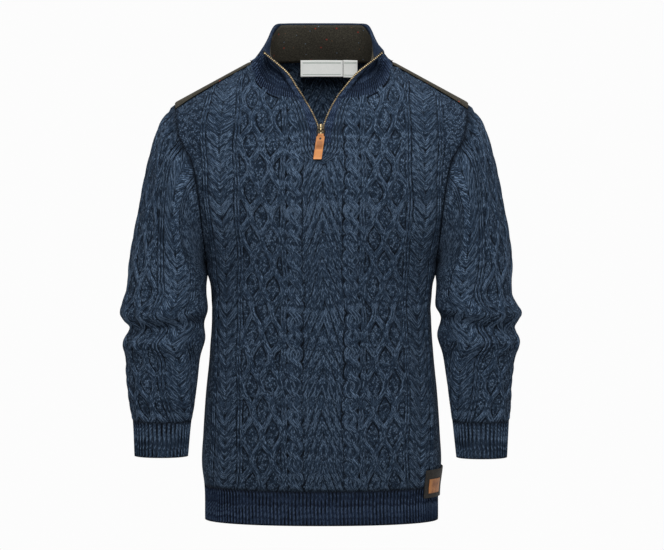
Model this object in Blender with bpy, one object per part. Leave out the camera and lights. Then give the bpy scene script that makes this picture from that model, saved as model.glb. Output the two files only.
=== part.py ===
"""Cabled wool sweater with a quarter zip, filled out as it is worn, with nobody in it.

Metres, +Z up, the front faces -Y, and +X is to the right as seen from the front.
The origin lies midway between the two neck points, at their height: it is where the
shoulders hold the sweater up. Every cloth piece is a thin wall. Its outer side is a
surface of two parameters, and its inner side is that surface moved in by the thickness.
"""
import bmesh
import bpy
import numpy as np

# ---------------------------------------------------------------- thicknesses and gaps
CABLE_KNIT = 0.0030         # body and sleeves
RIB_KNIT = 0.0026           # collar, hem, cuffs and zip bands
TWEED = 0.0015              # collar lining and shoulder patches
LABEL = 0.0008
SEAM = 0.0003               # gap between two pieces that are sewn together
HALF_SEAM = SEAM / 2

# ---------------------------------------------------------------- heights on the body
NECK_HALF = 0.105           # half the neck's width, at the neck points
SHOULDER_HALF = 0.222       # half the shoulders' width, at the sleeve seams
SHOULDER_SLOPE = 0.545      # fall of the shoulder seam for each metre outwards
SHOULDER_TIP = -SHOULDER_SLOPE * (SHOULDER_HALF - NECK_HALF)
UNDERARM = -0.302
RIB_TOP = -0.640
HEM = -0.692
LABEL_FOOT = -0.655
LABEL_HEAD = -0.612

# How far the neckline's middle would rise above the neck points, and how tall the
# rounding is that leads from the shoulder seam down to the full depth of the body.
NECK_RISE = {"front": 0.015, "back": 0.030}
ROUNDING = {"front": 0.200, "back": 0.120}
RING_POWER = 2.25           # 2 is an ellipse, more is squarer at the sides

RIB_ROWS = np.array([HEM, LABEL_FOOT, RIB_TOP - SEAM])
BODY_ROWS = -np.array([0.612, 0.560, 0.505, 0.450, 0.400, 0.350, 0.302])
ARMHOLE_STEPS = 8           # rows between the underarm and the shoulder seam
AROUND = 2 * ARMHOLE_STEPS  # points round a sleeve


def table(names, rows):
    """A table of sizes as one array for each named column."""
    return dict(zip(names.split(), np.array(rows, dtype=float).T))


# Body: half the width, and the depth in front of and behind the side seam.
BODY = table("height width front back", [
    (HEM, 0.1770, 0.113, 0.110),
    (RIB_TOP, 0.1780, 0.115, 0.112),
    (LABEL_HEAD, 0.1815, 0.121, 0.118),
    (-0.560, 0.1795, 0.122, 0.119),
    (-0.500, 0.1755, 0.120, 0.117),
    (-0.440, 0.1695, 0.118, 0.115),
    (-0.375, 0.1665, 0.118, 0.114),
    (UNDERARM, 0.1740, 0.123, 0.118),
    (-0.240, 0.1980, 0.128, 0.121),
    (-0.180, 0.2190, 0.130, 0.122),
    (-0.140, 0.2360, 0.130, 0.122),
    (-0.110, 0.2600, 0.130, 0.122),
    (SHOULDER_TIP, 0.3000, 0.130, 0.122),
    (0.060, 0.3000, 0.130, 0.122)])

# Sleeve seam: how far it lies from the middle, seen from the front.
ARMHOLE = table("height width", [
    (UNDERARM, 0.1740), (-0.240, 0.1810), (-0.177, 0.1890), (-0.143, 0.1970),
    (-0.115, 0.2130), (SHOULDER_TIP, SHOULDER_HALF)])

# Soft drape of the body: troughs (below zero) and swells, each a slanted oval.
# The slope is how far the fold runs sideways for each metre up.
DRAPE = {
    "front": table("x height slope length width depth", [
        (-0.125, -0.400, 0.55, 0.120, 0.022, -0.0060),
        (-0.085, -0.470, 0.45, 0.110, 0.024, 0.0040),
        (0.128, -0.375, -0.50, 0.070, 0.020, -0.0040),
        (0.120, -0.450, -0.30, 0.080, 0.026, 0.0030),
        (-0.135, -0.555, 0.20, 0.060, 0.024, -0.0030)]),
    "back": table("x height slope length width depth", [
        (-0.110, -0.390, 0.50, 0.110, 0.026, -0.0060),
        (0.115, -0.410, -0.45, 0.120, 0.024, -0.0050),
        (0.000, -0.470, 0.05, 0.120, 0.040, 0.0050),
        (0.060, -0.560, -0.20, 0.070, 0.028, -0.0040)])}

# Sleeves, a row for each ring: its outer and inner point, half its depth, and how far
# forward its middle lies. The rings turn about the underarm, from the armhole to level,
# then roll in and out where the sleeve has slumped above and below the elbow.
SLEEVE_COLUMNS = "out_x out_z in_x in_z depth forward"
SLEEVE_HEAD = [
    (SHOULDER_HALF, SHOULDER_TIP, 0.1740, UNDERARM, 0.074, 0.000),
    (0.2440, -0.0920, 0.1745, -0.3055, 0.075, 0.000),
    (0.2590, -0.1390, 0.1745, -0.3095, 0.074, 0.000),
    (0.2715, -0.1940, 0.1740, -0.3140, 0.071, 0.001),
    (0.2815, -0.2480, 0.1735, -0.3200, 0.068, 0.003)]
SLEEVE = {
    "left": table(SLEEVE_COLUMNS, SLEEVE_HEAD + [
        (0.2905, -0.3000, 0.1730, -0.3300, 0.065, 0.005),
        (0.2960, -0.3450, 0.1725, -0.3500, 0.063, 0.008),
        (0.3040, -0.3795, 0.1705, -0.3730, 0.069, 0.011),
        (0.2915, -0.4000, 0.1760, -0.3940, 0.056, 0.010),
        (0.3010, -0.4230, 0.1745, -0.4180, 0.065, 0.013),
        (0.2955, -0.4480, 0.1820, -0.4450, 0.057, 0.014),
        (0.2955, -0.4800, 0.1860, -0.4800, 0.054, 0.017),
        (0.2910, -0.5100, 0.1900, -0.5100, 0.050, 0.019),
        (0.2860, -0.5410, 0.1960, -0.5410, 0.044, 0.021),
        (0.2835, -0.5940, 0.2010, -0.5940, 0.039, 0.024)]),
    "right": table(SLEEVE_COLUMNS, SLEEVE_HEAD + [
        (0.2880, -0.3000, 0.1730, -0.3300, 0.065, 0.005),
        (0.2890, -0.3520, 0.1715, -0.3480, 0.062, 0.008),
        (0.3020, -0.3780, 0.1710, -0.3680, 0.069, 0.011),
        (0.2930, -0.3980, 0.1790, -0.3860, 0.056, 0.010),
        (0.3005, -0.4220, 0.1735, -0.4120, 0.065, 0.013),
        (0.2915, -0.4480, 0.1820, -0.4420, 0.056, 0.014),
        (0.2885, -0.4810, 0.1880, -0.4810, 0.052, 0.017),
        (0.2860, -0.5110, 0.1930, -0.5110, 0.048, 0.019),
        (0.2840, -0.5410, 0.1970, -0.5410, 0.044, 0.021),
        (0.2812, -0.5960, 0.2030, -0.5960, 0.038, 0.024)])}
SLEEVE_POWER = 2.1
CUFF_ROW = 13               # the row of the table where the sleeve becomes the cuff
SEATED_ROWS = 3.0           # rows over which the armhole's own shape fades into the rings
SLEEVE_STEPS = np.array([0, 0.6, 1.3, 2, 3, 4, 5, 6, 6.5, 7, 7.5, 8, 8.5, 9, 9.5, 10, 11, 12,
                         CUFF_ROW])
CUFF_STEPS = CUFF_ROW + np.array([0.006, 0.5, 1.0])
SIDES = {"left": -1, "right": 1}

# Collar, from the middle of the back (station 0) to the zip (station 1): the base
# follows the neckline, on the back or the front of the body, and the top edge is free.
COLLAR = table("station base_x base_z top_x top_y top_z", [
    (0.00, 0.0000, -0.003, 0.000, 0.049, 0.057),
    (0.12, 0.0400, -0.003, 0.030, 0.048, 0.057),
    (0.25, 0.0780, -0.003, 0.055, 0.042, 0.057),
    (0.40, 0.0990, -0.0015, 0.070, 0.023, 0.0565),
    (0.50, 0.1050, 0.000, 0.075, 0.004, 0.051),
    (0.60, 0.0975, -0.019, 0.079, -0.017, 0.043),
    (0.72, 0.0810, -0.036, 0.084, -0.040, 0.034),
    (0.86, 0.0540, -0.045, 0.091, -0.063, 0.0255),
    (0.93, 0.0410, -0.0458, 0.0935, -0.076, 0.022),
    (1.00, 0.0275, -0.0460, 0.0915, -0.087, 0.020)])
NECK_POINT = 0.50           # the station at the shoulder seam
COLLAR_HOLLOW = 0.0035      # how far the collar curves in at half its height
COLLAR_STATIONS = np.array([0.0, 0.12, 0.25, 0.40, 0.50, 0.60, 0.72, 0.86, 0.92])
COLLAR_ROWS = np.array([0.0, 0.2, 0.4, 0.6, 0.8])
TURN_BACK = 0.0016          # knit turned in over the top edge, at the back
TURN_FRONT = 0.0130         # and at the zip
LINING_FOOT = 0.02          # the lining stops this share of a facet short of its borders
LINING_HEAD = 0.04          # and of the turned-in edge

# Zip: half the opening on each side, by height.
ZIP = table("height left right", [
    (-0.112, 0.0036, 0.0016),
    (-0.099, 0.0038, 0.0018),
    (-0.087, 0.0064, 0.0042),
    (-0.069, 0.0140, 0.0110),
    (-0.048, 0.0265, 0.0225),
    (-0.031, 0.0380, 0.0360),
    (-0.011, 0.0520, 0.0545),
    (0.006, 0.0710, 0.0760),
    (0.021, 0.0890, 0.0945)])
SLIT_FOOT = -0.112
NECK_FRONT = -0.046         # height of the neckline at the zip
SLIT_ROWS = np.array([SLIT_FOOT, -0.086, -0.066])
STATION_PER_METRE = 5.8     # collar stations for each metre along its base, near the zip
BAND_AT_NECK = 0.0080       # width of the zip band on the collar
BAND_AT_FOOT = 0.0125       # and beside the slider
COLLAR_END = 1 - (BAND_AT_NECK + 2 * SEAM) * STATION_PER_METRE
TEETH_WIDTH = 0.0024
TEETH_DEEP = 0.0026
TEETH_SUNK = 0.0006         # the teeth lie this far below the face of the knit
TAPE_WIDTH = 0.0070
TAPE = 0.0010

# Slider, pull link and leather tab, on the cloth at the foot of the opening.
SLIDER_X = -0.0010
SLIDER_Z = -0.0920
SLIDER_LONG = 0.0150
SLIDER_WIDE = 0.0104
SLIDER_FOOT_WIDE = 0.0070
PLATE = 0.0012
PLATE_LIFT = 0.0004
BACK_PLATE_DEEP = 0.0042
POST_HALF = 0.0010
POST_LONG = 0.0030
BRIDGE_HALF = 0.0010
BRIDGE_LONG = 0.0080
BRIDGE_HIGH = 0.0036
PIN = 0.0007                # radius of the link's wire
PIN_HOLE = 0.0011
PIN_HIGH = 0.0028
PIN_DOWN = 0.0010           # how far the hinge lies below the slider's middle
LINK_WIDE = 0.0112
LINK_LONG = 0.0092
TAB_WIDE = 0.0124
TAB_LONG = 0.0370
TAB_LEATHER = 0.0014
TAB_NECK = 0.0084           # width of the leather inside the link
TAB_FOLD = 0.0150           # length of the leather that is folded behind
TAB_LEAN = -0.14            # how far the tab swings sideways for each metre down
TAB_CLEAR = 0.0004
TAB_TOP_CLEAR = 0.0012      # from the link's bar to the inside of the leather loop

# Patches and labels, placed by the rows and columns of the panels that carry them.
# Rows are counted down from the shoulder seam, columns in from the sleeve or side seam.
PATCH_COLUMNS = np.array([0.04, 1.0, 2.0, 3.0, 3.94])
PATCH_FRONT = np.array([0.95, 0.85, 0.75, 0.55, 0.35])  # how far down the front it comes
PATCH_BACK = np.array([1.0, 2.0, 3.0])                  # rows that it covers on the back
PATCH_GAP = 0.0013          # its clearance over the folds of the knit's own facets
NECK_LABEL = np.array([-0.78, 0.0, 0.78])               # columns from the back's middle
SIZE_LABEL = np.array([0.83, 1.0, 1.34])
NECK_LABEL_ROWS = np.array([1.42, 1.0, 0.08])
NECK_LABEL_GAP = 0.0005
SIDE_LABEL_FRONT = np.array([4.2, 4.0, 3.0, 2.0, 1.0])
SIDE_LABEL_BACK = np.array([1.0, 1.5])
SIDE_PATCH_COLUMNS = np.array([0.9, 1.0, 2.0, 3.0])     # from the label's front edge
SIDE_PATCH_ROWS = np.array([0.47, 1.0, 1.5])
SIDE_PATCH_LEATHER = 0.0012


# ---------------------------------------------------------------- shared curves
def smooth(knots, values, at):
    """A curve through the rows of a table: cubic pieces with the rows' own gradients."""
    at = np.asarray(at, dtype=float)
    slopes = np.gradient(values, knots)
    k = np.clip(np.searchsorted(knots, at, side="right") - 1, 0, len(knots) - 2)
    span = knots[k + 1] - knots[k]
    t = (at - knots[k]) / span
    rise = values[k] * (2 * t**3 - 3 * t**2 + 1) + values[k + 1] * (3 * t**2 - 2 * t**3)
    return rise + span * (slopes[k] * (t**3 - 2 * t**2 + t) + slopes[k + 1] * (t**3 - t**2))


def read(tab, column, at, key="height"):
    return smooth(tab[key], tab[column], at)


def mix(a, b, t):
    return a + (b - a) * t


def ease(t):
    """0 to 1 with level ends."""
    t = np.clip(t, 0, 1)
    return t * t * (3 - 2 * t)


def power(base, exponent):
    """The base's size to a power, with the base's own sign."""
    return np.sign(base) * np.abs(base) ** exponent


def points(x, y, z):
    return np.stack(np.broadcast_arrays(x, y, z), axis=-1).astype(float)


# ---------------------------------------------------------------- the body's form
def ridge(face, x):
    """Height of the shoulder seam, and of the arch that would join it over the neck."""
    outside = -SHOULDER_SLOPE * (np.abs(x) - NECK_HALF)
    inside = NECK_RISE[face] * (1 - (x / NECK_HALF) ** 2)
    return np.where(np.abs(x) > NECK_HALF, outside, inside)


def drape(face, x, z):
    """Sum of the drape table's slanted ovals, each a Gaussian across and along."""
    folds = DRAPE[face]
    x, z = np.asarray(x), np.asarray(z)
    up = z[..., None] - folds["height"]
    across = x[..., None] - folds["x"] - folds["slope"] * up
    hills = np.exp(-(across / folds["width"]) ** 2 - (up / folds["length"]) ** 2)
    return (folds["depth"] * hills).sum(axis=-1)


def depth(face, x, z):
    """How far the body's surface lies in front of, or behind, the side seam.

    A ring of the body is a squared ellipse, (x/width)^n + (y/depth)^n = 1. Towards the
    shoulder seam the depth shrinks like a quarter circle of the distance below it.
    """
    width = read(BODY, "width", z)
    ring = (1 - np.clip(np.abs(x) / width, 0, 1) ** RING_POWER) ** (1 / RING_POWER)
    below = np.clip((ridge(face, x) - z) / ROUNDING[face], 0, 1)
    full = read(BODY, face, z) * ring * np.sqrt(1 - (1 - below) ** 2)
    return full + drape(face, x, z) * ring


def collar_base(side, station):
    """Point of the neckline at a station of the collar, on the body's surface."""
    x = read(COLLAR, "base_x", station, "station")
    z = read(COLLAR, "base_z", station, "station")
    front = -depth("front", x, z)
    back = depth("back", x, z)
    return points(SIDES[side] * x, np.where(station > NECK_POINT, front, back), z)


def zip_x(side, z):
    return read(ZIP, side, z)


def band_width(z):
    return mix(BAND_AT_FOOT, BAND_AT_NECK, ease((z - SLIT_ROWS[1]) / (NECK_FRONT - SLIT_ROWS[1])))


def top_edge(face, side):
    """Columns of a panel: their place round the ring, and x and z of the top edge.

    The front's edge climbs beside the slit, then follows the neckline and the shoulder
    seam. The back's follows the neckline from the middle, then the shoulder seam.
    """
    seam_x = np.array([0.105, 0.135, 0.170, 0.200, SHOULDER_HALF])
    seam_z = ridge(face, seam_x)
    seam_turn = np.array([60, 67.5, 75, 82.5, 90])
    if face == "front":
        stations = COLLAR_STATIONS[COLLAR_STATIONS > NECK_POINT][::-1]
        stations = np.append(COLLAR_END, stations)
        slit_x = zip_x(side, SLIT_ROWS) + band_width(SLIT_ROWS) + SEAM
        turn = np.array([0, 7, 14, 20, 26, 31, 36, 43, 51])
        lead_x, lead_z = np.append(0, slit_x), np.append(SLIT_FOOT, SLIT_ROWS)
    else:
        stations = COLLAR_STATIONS[(COLLAR_STATIONS > 0) & (COLLAR_STATIONS < NECK_POINT)]
        turn = np.array([0, 15, 30, 45])
        lead_x, lead_z = np.array([0.0]), COLLAR["base_z"][:1]
    foot = collar(side, stations, 0 * stations)
    neck_x, neck_z = np.abs(foot[:, 0]), foot[:, 2]
    return (np.radians(np.append(turn, seam_turn)),
            np.concatenate([lead_x, neck_x, seam_x]),
            np.concatenate([lead_z - HALF_SEAM, neck_z - HALF_SEAM, seam_z]))


def panel_half(face, side, rows):
    """Half of the front or back, as a grid of points: a row for each height.

    Rows below 0 are heights under the underarm, as a share of the way down to the rib.
    Rows above 0 are shares of the way from the underarm up to the panel's top edge.
    Low down, a column keeps its turn round the ring. Higher up it swings to its place
    on the top edge, and the outermost column follows the sleeve seam.
    """
    turn, top_x, top_z = top_edge(face, side)
    low = np.minimum(rows, 0)[:, None]
    up = np.maximum(rows, 0)[:, None]
    level = UNDERARM + low * (UNDERARM - RIB_TOP)
    round_ring = power(np.sin(turn), 2 / RING_POWER)
    share = mix(round_ring, top_x / SHOULDER_HALF, up)
    seam = read(ARMHOLE, "width", mix(UNDERARM, SHOULDER_TIP, up))
    width = np.where(up > 0, seam - HALF_SEAM, read(BODY, "width", level))
    x = share * width
    z = level + up * (top_z - UNDERARM)
    y = depth(face, x, z) + HALF_SEAM
    toward = -1 if face == "front" else 1
    return points(SIDES[side] * x, toward * y, z)


def body_rows():
    """Rows of both panels, from the rib to the shoulder seam."""
    low = (np.append(RIB_TOP, BODY_ROWS) - UNDERARM) / (UNDERARM - RIB_TOP)
    high = (1 - np.cos(np.pi * np.arange(1, ARMHOLE_STEPS + 1) / ARMHOLE_STEPS)) / 2
    return np.append(low, high)


def panel(face):
    """The whole panel's grid, with columns that run so that the surface faces out."""
    rows = body_rows()
    left = panel_half(face, "left", rows)
    right = panel_half(face, "right", rows)
    whole = np.concatenate([left[:, :0:-1], right], axis=1)
    return whole if face == "front" else whole[:, ::-1]


def rib_band(face, rows):
    """The hem's rib under a panel, on the same columns as the panel."""
    turn = np.concatenate([-top_edge(face, "left")[0][:0:-1], top_edge(face, "right")[0]])
    level = rows[:, None]
    x = power(np.sin(turn), 2 / RING_POWER) * read(BODY, "width", level)
    toward = -1 if face == "front" else 1
    grid = points(x, toward * (depth(face, x, level) + HALF_SEAM), level)
    return grid if face == "front" else grid[:, ::-1]


# ---------------------------------------------------------------- the sleeves' form
def armhole(side):
    """The sleeve seam as a closed loop: shoulder, front, underarm, back."""
    turn = 2 * np.pi * np.arange(AROUND) / AROUND
    z = mix(UNDERARM, SHOULDER_TIP, (1 + np.cos(turn)) / 2)
    x = read(ARMHOLE, "width", z)
    front, back = depth("front", x, z), depth("back", x, z)
    y = np.where(np.sin(turn) > 0, -front, back) * (np.abs(np.sin(turn)) > 1e-6)
    return points(SIDES[side] * (x + HALF_SEAM), y, z)


def sleeve_ring(side, row):
    """Rings of the sleeve at given rows of its table, before the armhole's shape."""
    rings = SLEEVE[side]
    index = np.arange(len(rings["out_x"]), dtype=float)
    out_x, out_z, in_x, in_z, deep, forward = (
        smooth(index, rings[name], row)[:, None] for name in SLEEVE_COLUMNS.split())
    turn = 2 * np.pi * np.arange(AROUND) / AROUND
    out = power(np.cos(turn), 2 / SLEEVE_POWER)
    ahead = power(np.sin(turn), 2 / SLEEVE_POWER)
    x = (out_x + in_x) / 2 + (out_x - in_x) / 2 * out
    z = (out_z + in_z) / 2 + (out_z - in_z) / 2 * out
    return points(SIDES[side] * x, -forward - deep * ahead, z)


def sleeve(side, row):
    """The sleeve's rings, led from the armhole's own loop into the table's rings."""
    rings = sleeve_ring(side, row)
    start = sleeve_ring(side, np.zeros(1))
    fade = (1 - ease(row / SEATED_ROWS))[:, None, None]
    grid = rings + (armhole(side) - start) * fade
    return grid if side == "right" else grid[:, ::-1]


# ---------------------------------------------------------------- the collar's form
def collar(side, station, share):
    """Point of the collar's outer side: base to top edge by share, softly hollowed.

    Near the zip the front edge bows so that it follows the opening's own line.
    """
    base = collar_base(side, station)
    top = points(SIDES[side] * read(COLLAR, "top_x", station, "station"),
                 read(COLLAR, "top_y", station, "station"),
                 read(COLLAR, "top_z", station, "station"))
    spot = mix(base, top, share[..., None])
    out = spot * (1.0, 1.0, 0.0)
    out = out / np.linalg.norm(out, axis=-1, keepdims=True)
    near_zip = ease((station - 0.72) / 0.28)
    spot = spot - out * (COLLAR_HOLLOW * np.sin(np.pi * share) * (1 - near_zip))[..., None]
    edge_z = mix(NECK_FRONT, COLLAR["top_z"][-1], share)
    edge_x = mix(COLLAR["base_x"][-1], COLLAR["top_x"][-1], share)
    bow = (zip_x(side, edge_z) - edge_x) * near_zip
    return spot + points(SIDES[side] * bow, 0 * bow, 0 * bow)


def collar_grid(stations, shares):
    """Both halves of the collar, from the right zip edge round the back to the left.

    Shares has a row for each line of the grid and a column for each station.
    """
    station = np.repeat(stations[None], len(shares), axis=0)
    right, left = collar("right", station, shares), collar("left", station, shares)
    return np.concatenate([right[:, :0:-1], left], axis=1)


def zip_line(side, climb, out):
    """Point beside the zip: climb 0 to 1 up the slit, 1 to 2 up the collar's edge.

    Out is the distance from the zip's edge, away from the opening.
    """
    z = mix(SLIT_FOOT, NECK_FRONT, np.clip(climb, 0, 1))
    x = zip_x(side, z) + out
    low = points(SIDES[side] * x, -depth("front", x, z), z)
    high = collar(side, 1 - out * STATION_PER_METRE, np.clip(climb - 1, 0, 1))
    return np.where((climb > 1)[..., None], high, low)


def zip_strip(side, climbs, near, far):
    """A strip along the zip, between two distances from its edge."""
    out = np.stack([near * np.ones_like(climbs), far * np.ones_like(climbs)], axis=1)
    grid = zip_line(side, np.stack([climbs, climbs], axis=1), out)
    return grid if side == "right" else grid[:, ::-1]


# ---------------------------------------------------------------- walls and meshes
def normals(grid, closed=False):
    """Outward normals of a grid of points, from the chords on either side of each."""
    if closed:
        around = np.roll(grid, -1, axis=1) - np.roll(grid, 1, axis=1)
    else:
        around = np.gradient(grid, axis=1)
    normal = np.cross(around, np.gradient(grid, axis=0))
    return normal / np.linalg.norm(normal, axis=-1, keepdims=True)


def share_normals(own, other):
    """Normals for a seam between two pieces, so that both walls end on one mitre.

    Where the pieces fold back against each other, each keeps its own.
    """
    along = np.clip(1.5 * (own * other).sum(axis=-1, keepdims=True), 0, 1)
    both = own + along * other
    return both / np.linalg.norm(both, axis=-1, keepdims=True)


def wall(outer, inner, closed=False):
    """Vertices and triangles of a closed wall between two grids of the same size.

    Both sides split their quads along the same diagonal, and so do the rims of walls
    that meet, so that walls which lie on or against each other stay parallel.
    """
    rows, columns = outer.shape[:2]
    count = rows * columns
    ids = np.arange(count).reshape(rows, columns)
    if closed:
        ids = np.concatenate([ids, ids[:, :1]], axis=1)

    def split(a, b, c, d):
        quads = np.stack([a, b, c, a, c, d], axis=-1)
        return quads.reshape(-1, 3)

    def rim(edge):
        return split(edge[1:], edge[:-1], edge[:-1] + count, edge[1:] + count)

    def far_rim(edge):
        return split(edge[:-1], edge[:-1] + count, edge[1:] + count, edge[1:])

    face = split(ids[:-1, :-1], ids[:-1, 1:], ids[1:, 1:], ids[1:, :-1])
    faces = [face, face[:, ::-1] + count, rim(ids[0]), far_rim(ids[-1, ::-1])]
    if not closed:
        faces += [far_rim(ids[::-1, 0]), rim(ids[:, -1])]
    return np.concatenate([outer.reshape(-1, 3), inner.reshape(-1, 3)]), np.concatenate(faces)


def material(name, color, roughness, metallic=0.0):
    """A Principled material with its colour given as linear red, green, blue."""
    mat = bpy.data.materials.new(name)
    mat.use_nodes = True
    shader = mat.node_tree.nodes["Principled BSDF"]
    shader.inputs["Base Color"].default_value = (*color, 1.0)
    shader.inputs["Roughness"].default_value = roughness
    shader.inputs["Metallic"].default_value = metallic
    return mat


def add_mesh(name, verts, faces, mat, parent=None):
    mesh = bpy.data.meshes.new(name)
    origin = np.array(parent.location) if parent else np.zeros(3)
    mesh.from_pydata((verts - origin).tolist(), [], faces.tolist())
    mesh.materials.append(mat)
    mesh.shade_smooth()
    mesh.set_sharp_from_angle(angle=np.radians(40))
    obj = bpy.data.objects.new(name, mesh)
    bpy.context.scene.collection.objects.link(obj)
    obj.parent = parent
    return obj


def add_wall(name, outer, thickness, mat, normal=None, closed=False, parent=None):
    """A cloth piece: the outer grid, and the same grid moved in by the thickness."""
    if normal is None:
        normal = normals(outer, closed)
    inner = outer - normal * (thickness * np.ones(outer.shape[:2]))[..., None]
    verts, faces = wall(outer, inner, closed)
    return add_mesh(name, verts, faces, mat, parent)


def on_grid(grid, row, column):
    """Points between the lines of a grid, on its flat facets."""
    i = np.clip(np.floor(row).astype(int), 0, grid.shape[0] - 2)
    j = np.clip(np.floor(column).astype(int), 0, grid.shape[1] - 2)
    s, t = (row - i)[..., None], (column - j)[..., None]
    a, c = grid[i, j], grid[i + 1, j + 1]
    right = a + t * (grid[i, j + 1] - a) + s * (c - grid[i, j + 1])
    left = a + s * (grid[i + 1, j] - a) + t * (c - grid[i + 1, j])
    return np.where(t > s, right, left)


# ---------------------------------------------------------------- seams between pieces
def edge_column(face, side):
    """The panel's first or last column, whichever lies at that sleeve."""
    return -1 if (side == "right") == (face == "front") else 0


def loop_places(face):
    """Where a panel's armhole rows, from the underarm up, lie in the sleeve's loop."""
    rows = np.arange(ARMHOLE_STEPS + 1)
    return ARMHOLE_STEPS - rows if face == "front" else (ARMHOLE_STEPS + rows) % AROUND


def in_loop_order(side, ring):
    """A sleeve ring's values, ordered shoulder, front, underarm, back."""
    return ring if side == "right" else ring[::-1]


def shoulder_up(side):
    """The direction square to the shoulder seam."""
    return np.array([SIDES[side] * SHOULDER_SLOPE, 0, 1]) / np.hypot(SHOULDER_SLOPE, 1)


def panel_normals(face):
    """Normals of a panel, shared with its neighbours along the seams.

    The side seam faces straight out, the shoulder seam faces up square to its slope,
    and the sleeve seam takes the mean of panel and sleeve.
    """
    grid = panel(face)
    normal = normals(grid)
    first = len(BODY_ROWS)
    for side, sign in SIDES.items():
        edge = edge_column(face, side)
        normal[:first + 1, edge] = (sign, 0, 0)
        ring = in_loop_order(side, normals(sleeve(side, SLEEVE_STEPS), closed=True)[0])
        own = normal[first:, edge]
        normal[first:, edge] = share_normals(own, ring[loop_places(face)])
        on_seam = sign * grid[-1, :, 0] > NECK_HALF - SEAM
        normal[-1, on_seam] = shoulder_up(side)
    return normal


def sleeve_normals(side):
    """Normals of a sleeve, with the armhole's ring shared with both panels."""
    normal = normals(sleeve(side, SLEEVE_STEPS), closed=True)
    own = in_loop_order(side, normal[0])
    shared = own.copy()
    for face in ("front", "back"):
        body = normals(panel(face))[len(BODY_ROWS):, edge_column(face, side)]
        place = loop_places(face)[1:-1]
        shared[place] = share_normals(own[place], body[1:-1])
    shared[0] = shoulder_up(side)
    normal[0] = in_loop_order(side, shared)
    return normal


def rib_normals(face):
    """Normals of the hem's rib, facing straight out at the side seams."""
    normal = normals(rib_band(face, RIB_ROWS))
    for side, sign in SIDES.items():
        normal[:, edge_column(face, side)] = (sign, 0, 0)
    return normal


# ---------------------------------------------------------------- the pieces
def make_body(knit, rib):
    for face in ("front", "back"):
        add_wall(face, panel(face), CABLE_KNIT, knit, panel_normals(face))
        add_wall("hem_rib_" + face, rib_band(face, RIB_ROWS), RIB_KNIT, rib, rib_normals(face))


def make_sleeves(knit, rib):
    for side in SIDES:
        add_wall("sleeve_" + side, sleeve(side, SLEEVE_STEPS), CABLE_KNIT, knit,
                 sleeve_normals(side), closed=True)
        cuff = sleeve(side, CUFF_STEPS)
        add_wall("cuff_" + side, cuff, RIB_KNIT, rib, closed=True)


def turn_depth(station):
    """Width of the knit turned in over the collar's top edge."""
    return mix(TURN_BACK, TURN_FRONT, ease((station - NECK_POINT) / (1 - NECK_POINT)))


def collar_height(station):
    """Length of the collar from the seam to the top edge, at a station."""
    foot, head = (collar("right", station, share * np.ones_like(station)) for share in (0, 1))
    return np.linalg.norm(head - foot, axis=-1)


def collar_shares(stations):
    """Rows of the collar as shares of its height: plain rows, then the turned-in edge."""
    height = collar_height(stations)
    turn = 1 - turn_depth(stations) / height
    lower = np.maximum(COLLAR_ROWS[:, None] * turn, SEAM / height)
    return np.vstack([lower, turn - SEAM / height, turn, turn**0])


def make_collar(rib, tweed):
    """The ribbed collar, thicker along its turned-in top edge, and the tweed lining."""
    stations = np.append(COLLAR_STATIONS, COLLAR_END)
    grid = collar_grid(stations, collar_shares(stations))
    normal = normals(grid)
    normal[0, :, 2] = np.minimum(normal[0, :, 2], 0)
    turn_row = len(COLLAR_ROWS)
    normal[turn_row] = normal[turn_row + 1]
    thick = np.full(grid.shape[:2], RIB_KNIT)
    thick[turn_row + 1:] += SEAM + TWEED
    add_wall("collar", grid, thick, rib, normal)

    rows = np.append(np.arange(turn_row), turn_row - LINING_HEAD)[:, None]
    rows = np.maximum(rows, LINING_FOOT)
    last = grid.shape[1] - 1
    columns = np.clip(np.arange(last + 1), LINING_FOOT, last - LINING_FOOT)[None]
    rows, columns = np.broadcast_arrays(rows, columns)
    face, square = on_grid(grid, rows, columns), on_grid(normal, rows, columns)
    add_wall("collar_lining", face - square * (RIB_KNIT + SEAM), TWEED, tweed, square)


def zip_rows():
    """Places up the zip: the slit's rows, then the collar's own rows."""
    slit = np.array([0, 0.18, 0.4, 0.7, 1.0])
    return np.append(slit, 1 + collar_shares(np.array([COLLAR_END]))[1:, 0])


def make_zip(rib, tape, brass):
    """Each side of the zip: plain knit band, tape behind it, and a row of teeth.

    All three are ruled off the zip's edge, and share one direction outwards in each row.
    """
    climb = zip_rows()
    width = band_width(mix(SLIT_FOOT, NECK_FRONT, np.clip(climb, 0, 1)))
    for side in SIDES:
        square = normals(zip_strip(side, climb, -TEETH_WIDTH, TAPE_WIDTH))
        square = np.repeat(square.mean(axis=1, keepdims=True), 2, axis=1)
        band = zip_strip(side, climb, SEAM, width)
        add_wall("zip_band_" + side, band, RIB_KNIT, rib, square)
        strip = zip_strip(side, climb, SEAM, TAPE_WIDTH) - square * (RIB_KNIT + SEAM)
        add_wall("zip_tape_" + side, strip[:-1], TAPE, tape, square[:-1])
        teeth = zip_strip(side, climb, -TEETH_WIDTH, 0.0) - square * TEETH_SUNK
        add_wall("zip_chain_" + side, teeth, TEETH_DEEP, brass, square)


# ---------------------------------------------------------------- slider, link and tab
def cloth_frame():
    """The slider's own axes on the cloth: its middle, and right, down and out."""
    spots = [points(SLIDER_X, -depth("front", np.array(SLIDER_X), z), z)
             for z in (SLIDER_Z, SLIDER_Z - PIN)]
    down = spots[1] - spots[0]
    down = down / np.linalg.norm(down)
    right = np.array([1.0, 0.0, 0.0])
    return spots[0], right, down, np.cross(right, -down)


def in_frame(right, down, out):
    """A point given by its distances right, down and out from the slider's middle."""
    middle, x_axis, down_axis, out_axis = cloth_frame()
    return middle + right * x_axis + down * down_axis + out * out_axis


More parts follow.
